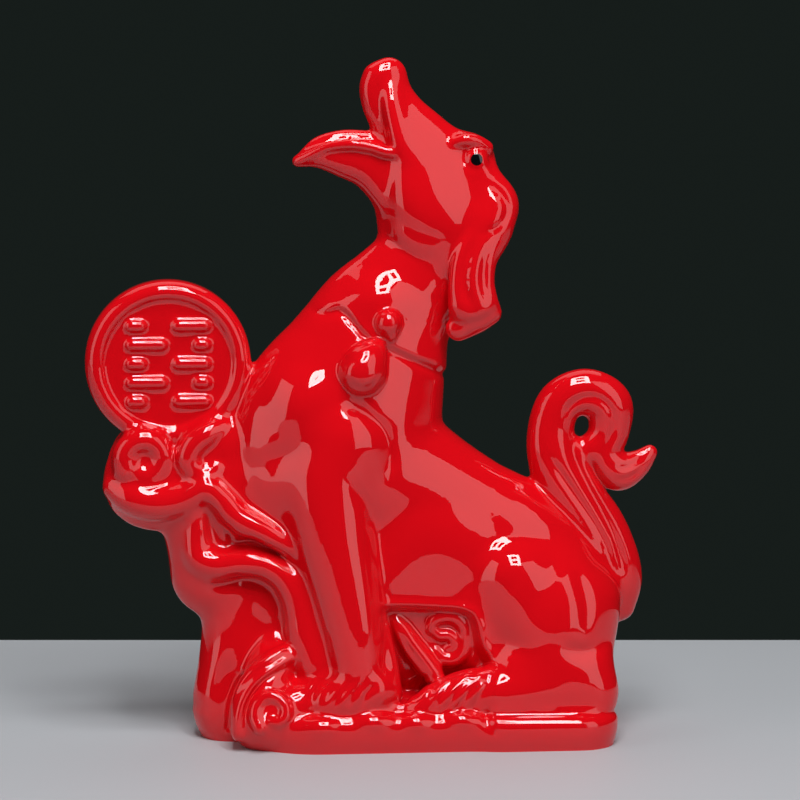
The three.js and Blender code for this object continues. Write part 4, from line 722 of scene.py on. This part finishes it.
def figure_mesh():
    """Turns the clay into one mesh with smooth shading, cut off flat at the underside."""
    field = blurred(clay.distance, GLAZE_BLUR / CELL)
    vertices, quads = surface_net(field)
    low = np.array([axis[0] for axis in clay.axes])
    mesh = bpy.data.meshes.new("zodiac_dog_glazed")
    mesh.from_pydata((vertices * CELL + low) * MM, [], quads.tolist())
    figure = bpy.data.objects.new("zodiac_dog_glazed", mesh)
    bpy.context.scene.collection.objects.link(figure)

    bpy.context.view_layer.objects.active = figure
    decimate = figure.modifiers.new("fewer_faces", "DECIMATE")
    decimate.ratio = min(1.0, TRIANGLES / (2 * len(quads)))
    bpy.ops.object.modifier_apply(modifier=decimate.name)

    sculpt = bmesh.new()
    sculpt.from_mesh(mesh)
    everything = sculpt.verts[:] + sculpt.edges[:] + sculpt.faces[:]
    bmesh.ops.bisect_plane(sculpt, geom=everything, plane_co=(0, 0, 0), plane_no=(0, 0, 1), clear_inner=True)
    rim = [edge for edge in sculpt.edges if edge.is_boundary]
    bmesh.ops.contextual_create(sculpt, geom=rim)
    bmesh.ops.triangulate(sculpt, faces=[face for face in sculpt.faces if len(face.verts) > 3])
    sculpt.to_mesh(mesh)
    sculpt.free()

    count = len(mesh.vertices)
    places = np.empty(count * 3)
    mesh.vertices.foreach_get("co", places)
    places = (places.reshape(-1, 3) / MM - low) / CELL
    slope = np.stack(np.gradient(field), axis=-1)
    normals = sampled(slope, places)
    normals /= np.maximum(np.linalg.norm(normals, axis=1, keepdims=True), TINY)
    mesh.shade_smooth()
    loops = np.empty(len(mesh.loops), dtype=np.int32)
    mesh.loops.foreach_get("vertex_index", loops)
    per_loop = normals[loops]
    # the underside is shaded flat
    facing_down = -0.999
    underside = CELL * MM / 10
    for polygon in mesh.polygons:
        if polygon.normal.z < facing_down and polygon.center.z < underside:
            for corner in polygon.loop_indices:
                per_loop[corner] = (0, 0, -1)
    mesh.normals_split_custom_set(per_loop.tolist())
    return figure


for form in (plinth, trunk, under_belly, rock, coin, front_legs, hind_legs, tail, collar, head, ears, bells):
    form()
dog = figure_mesh()

# The glaze, with lengths in metres
GLAZE_RED = (0.74, 0.003, 0.008, 1)
COLOR_ROUGHNESS = 0.6
GLOSS_ROUGHNESS = 0.02
GLOSS_IOR = 1.62
RIPPLE_SCALE = 170
RIPPLE_DETAIL = 2
RIPPLE_STRENGTH = 0.25
RIPPLE_HEIGHT = 0.12 * MM
EYE = Vector((10.2, 4.3, 85.1)) * SHARE * MM  # on the far side, and mirrored to the near one
PUPIL_RADIUS = 2.2 * MM
PUPIL_BLACK = (0.003, 0.003, 0.004, 1)


def glaze_material():
    """Deep red under a clear gloss that ripples faintly, with a black pupil painted on each side."""
    material = bpy.data.materials.new("red_glaze")
    material.use_nodes = True
    nodes, links = material.node_tree.nodes, material.node_tree.links
    shader = nodes["Principled BSDF"]
    shader.inputs["Roughness"].default_value = COLOR_ROUGHNESS
    shader.inputs["Specular IOR Level"].default_value = 0.0
    shader.inputs["Coat Weight"].default_value = 1.0
    shader.inputs["Coat Roughness"].default_value = GLOSS_ROUGHNESS
    shader.inputs["Coat IOR"].default_value = GLOSS_IOR

    place = nodes.new("ShaderNodeTexCoord")
    ripple = nodes.new("ShaderNodeTexNoise")
    ripple.inputs["Scale"].default_value = RIPPLE_SCALE
    ripple.inputs["Detail"].default_value = RIPPLE_DETAIL
    links.new(place.outputs["Object"], ripple.inputs["Vector"])
    bump = nodes.new("ShaderNodeBump")
    bump.inputs["Strength"].default_value = RIPPLE_STRENGTH
    bump.inputs["Distance"].default_value = RIPPLE_HEIGHT
    links.new(ripple.outputs["Fac"], bump.inputs["Height"])
    links.new(bump.outputs["Normal"], shader.inputs["Normal"])
    links.new(bump.outputs["Normal"], shader.inputs["Coat Normal"])

    mirrored = nodes.new("ShaderNodeVectorMath")
    mirrored.operation = "ABSOLUTE"
    links.new(place.outputs["Object"], mirrored.inputs[0])
    away = nodes.new("ShaderNodeVectorMath")
    away.operation = "DISTANCE"
    away.inputs[1].default_value = EYE
    links.new(mirrored.outputs["Vector"], away.inputs[0])
    pupil = nodes.new("ShaderNodeMath")
    pupil.operation = "LESS_THAN"
    pupil.inputs[1].default_value = PUPIL_RADIUS
    links.new(away.outputs["Value"], pupil.inputs[0])
    color = nodes.new("ShaderNodeMix")
    color.data_type = "RGBA"
    color.inputs["A"].default_value = GLAZE_RED
    color.inputs["B"].default_value = PUPIL_BLACK
    links.new(pupil.outputs["Value"], color.inputs["Factor"])
    links.new(color.outputs["Result"], shader.inputs["Base Color"])
    return material


dog.data.materials.append(glaze_material())
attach(dog, "root")
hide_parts("zodiac_dog")

# The camera's place, from the photograph: degrees, and metres
CAMERA_AZIMUTH = -5.0
CAMERA_ELEVATION = 7.0
CAMERA_DISTANCE = 1.15
CAMERA_TARGET = Vector((-0.00142, 0, 0.1191))
CAMERA_LENS = 146.6  # in millimetres, like the sensor's width
CAMERA_SENSOR = 36

# The table: its edges lie square to the camera, at these distances before and behind the figure
FLOOR_FRONT = 0.45
FLOOR_BACK = 0.166
FLOOR_WIDTH = 12.0
FLOOR_COLOR = (0.5, 0.52, 0.55, 1)
FLOOR_ROUGHNESS = 0.6

# The soft lamps: name, azimuth, elevation, distance, width and height, and radiance (in degrees and metres)
SOFTBOXES = (
    ("left_softbox", -66, 12, 1.2, (0.6, 1.3), 1.2),
    ("right_softbox", 41, 22, 1.3, (0.7, 1.3), 1.2),
    ("table_softbox", 190, 68, 1.6, (2, 1), 0.8),
)
LAMP_TARGET = Vector((0, 0, 0.12))

# The key light, a frame of bars in the form of an eight: azimuth, elevation and distance, then the frame
KEY_PLACE = (4, 58, 1.15)
KEY_RADIANCE = 14.0
KEY_WIDTH = 0.5
KEY_ROW = 0.3  # from one cross bar to the next
KEY_BAR = 0.13

BACKDROP_COLOR = (0.7, 1, 0.88, 1)
BACKDROP_STRENGTH = 0.012


def floor():
    turn = math.radians(CAMERA_AZIMUTH)
    middle = (FLOOR_BACK - FLOOR_FRONT) / 2
    bpy.ops.mesh.primitive_plane_add(size=1, location=(-middle * math.sin(turn), middle * math.cos(turn), 0))
    plane = bpy.context.object
    plane.rotation_euler[2] = turn
    plane.scale = (FLOOR_WIDTH, FLOOR_BACK + FLOOR_FRONT, 1)
    plane.name = "floor"
    material = bpy.data.materials.new("pale_floor")
    material.use_nodes = True
    shader = material.node_tree.nodes["Principled BSDF"]
    shader.inputs["Base Color"].default_value = FLOOR_COLOR
    shader.inputs["Roughness"].default_value = FLOOR_ROUGHNESS
    plane.data.materials.append(material)
    plane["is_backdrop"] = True


def softbox(name, azimuth, elevation, distance, size, radiance, shift=(0, 0)):
    """A rectangular lamp that faces the figure, moved within its own plane by shift."""
    away = Vector(direction(azimuth, elevation))
    data = bpy.data.lights.new(name, "AREA")
    data.shape = "RECTANGLE"
    data.size, data.size_y = size
    data.energy = radiance * math.pi * size[0] * size[1]
    lamp = bpy.data.objects.new(name, data)
    facing = (-away).to_track_quat("-Z", "Y")
    lamp.location = LAMP_TARGET + away * distance + facing @ Vector((*shift, 0))
    lamp.rotation_euler = facing.to_euler()
    bpy.context.scene.collection.objects.link(lamp)


def studio():
    for lamp in SOFTBOXES:
        softbox(*lamp)
    for row in (-1, 0, 1):
        softbox("key_across", *KEY_PLACE, (KEY_WIDTH, KEY_BAR), KEY_RADIANCE, (0, row * KEY_ROW))
    for side in (-1, 1):
        for row in (-0.5, 0.5):
            shift = (side * (KEY_WIDTH - KEY_BAR) / 2, row * KEY_ROW)
            softbox("key_upright", *KEY_PLACE, (KEY_BAR, KEY_ROW - KEY_BAR), KEY_RADIANCE, shift)
    world = bpy.data.worlds.new("studio")
    world.use_nodes = True
    background = world.node_tree.nodes["Background"]
    background.inputs["Color"].default_value = BACKDROP_COLOR
    background.inputs["Strength"].default_value = BACKDROP_STRENGTH
    bpy.context.scene.world = world
    bpy.context.scene.view_settings.view_transform = "Standard"


def camera():
    away = Vector(direction(CAMERA_AZIMUTH, CAMERA_ELEVATION))
    data = bpy.data.cameras.new("camera")
    data.lens = CAMERA_LENS
    data.sensor_width = CAMERA_SENSOR
    lens = bpy.data.objects.new("camera", data)
    lens.location = CAMERA_TARGET + away * CAMERA_DISTANCE
    lens.rotation_euler = (-away).to_track_quat("-Z", "Y").to_euler()
    bpy.context.scene.collection.objects.link(lens)
    bpy.context.scene.camera = lens


floor()
studio()
camera()

boxes = {"cad": cad_box, "visual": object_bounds()}
{name: [list(map(float, corner)) for corner in box] for name, box in boxes.items()}
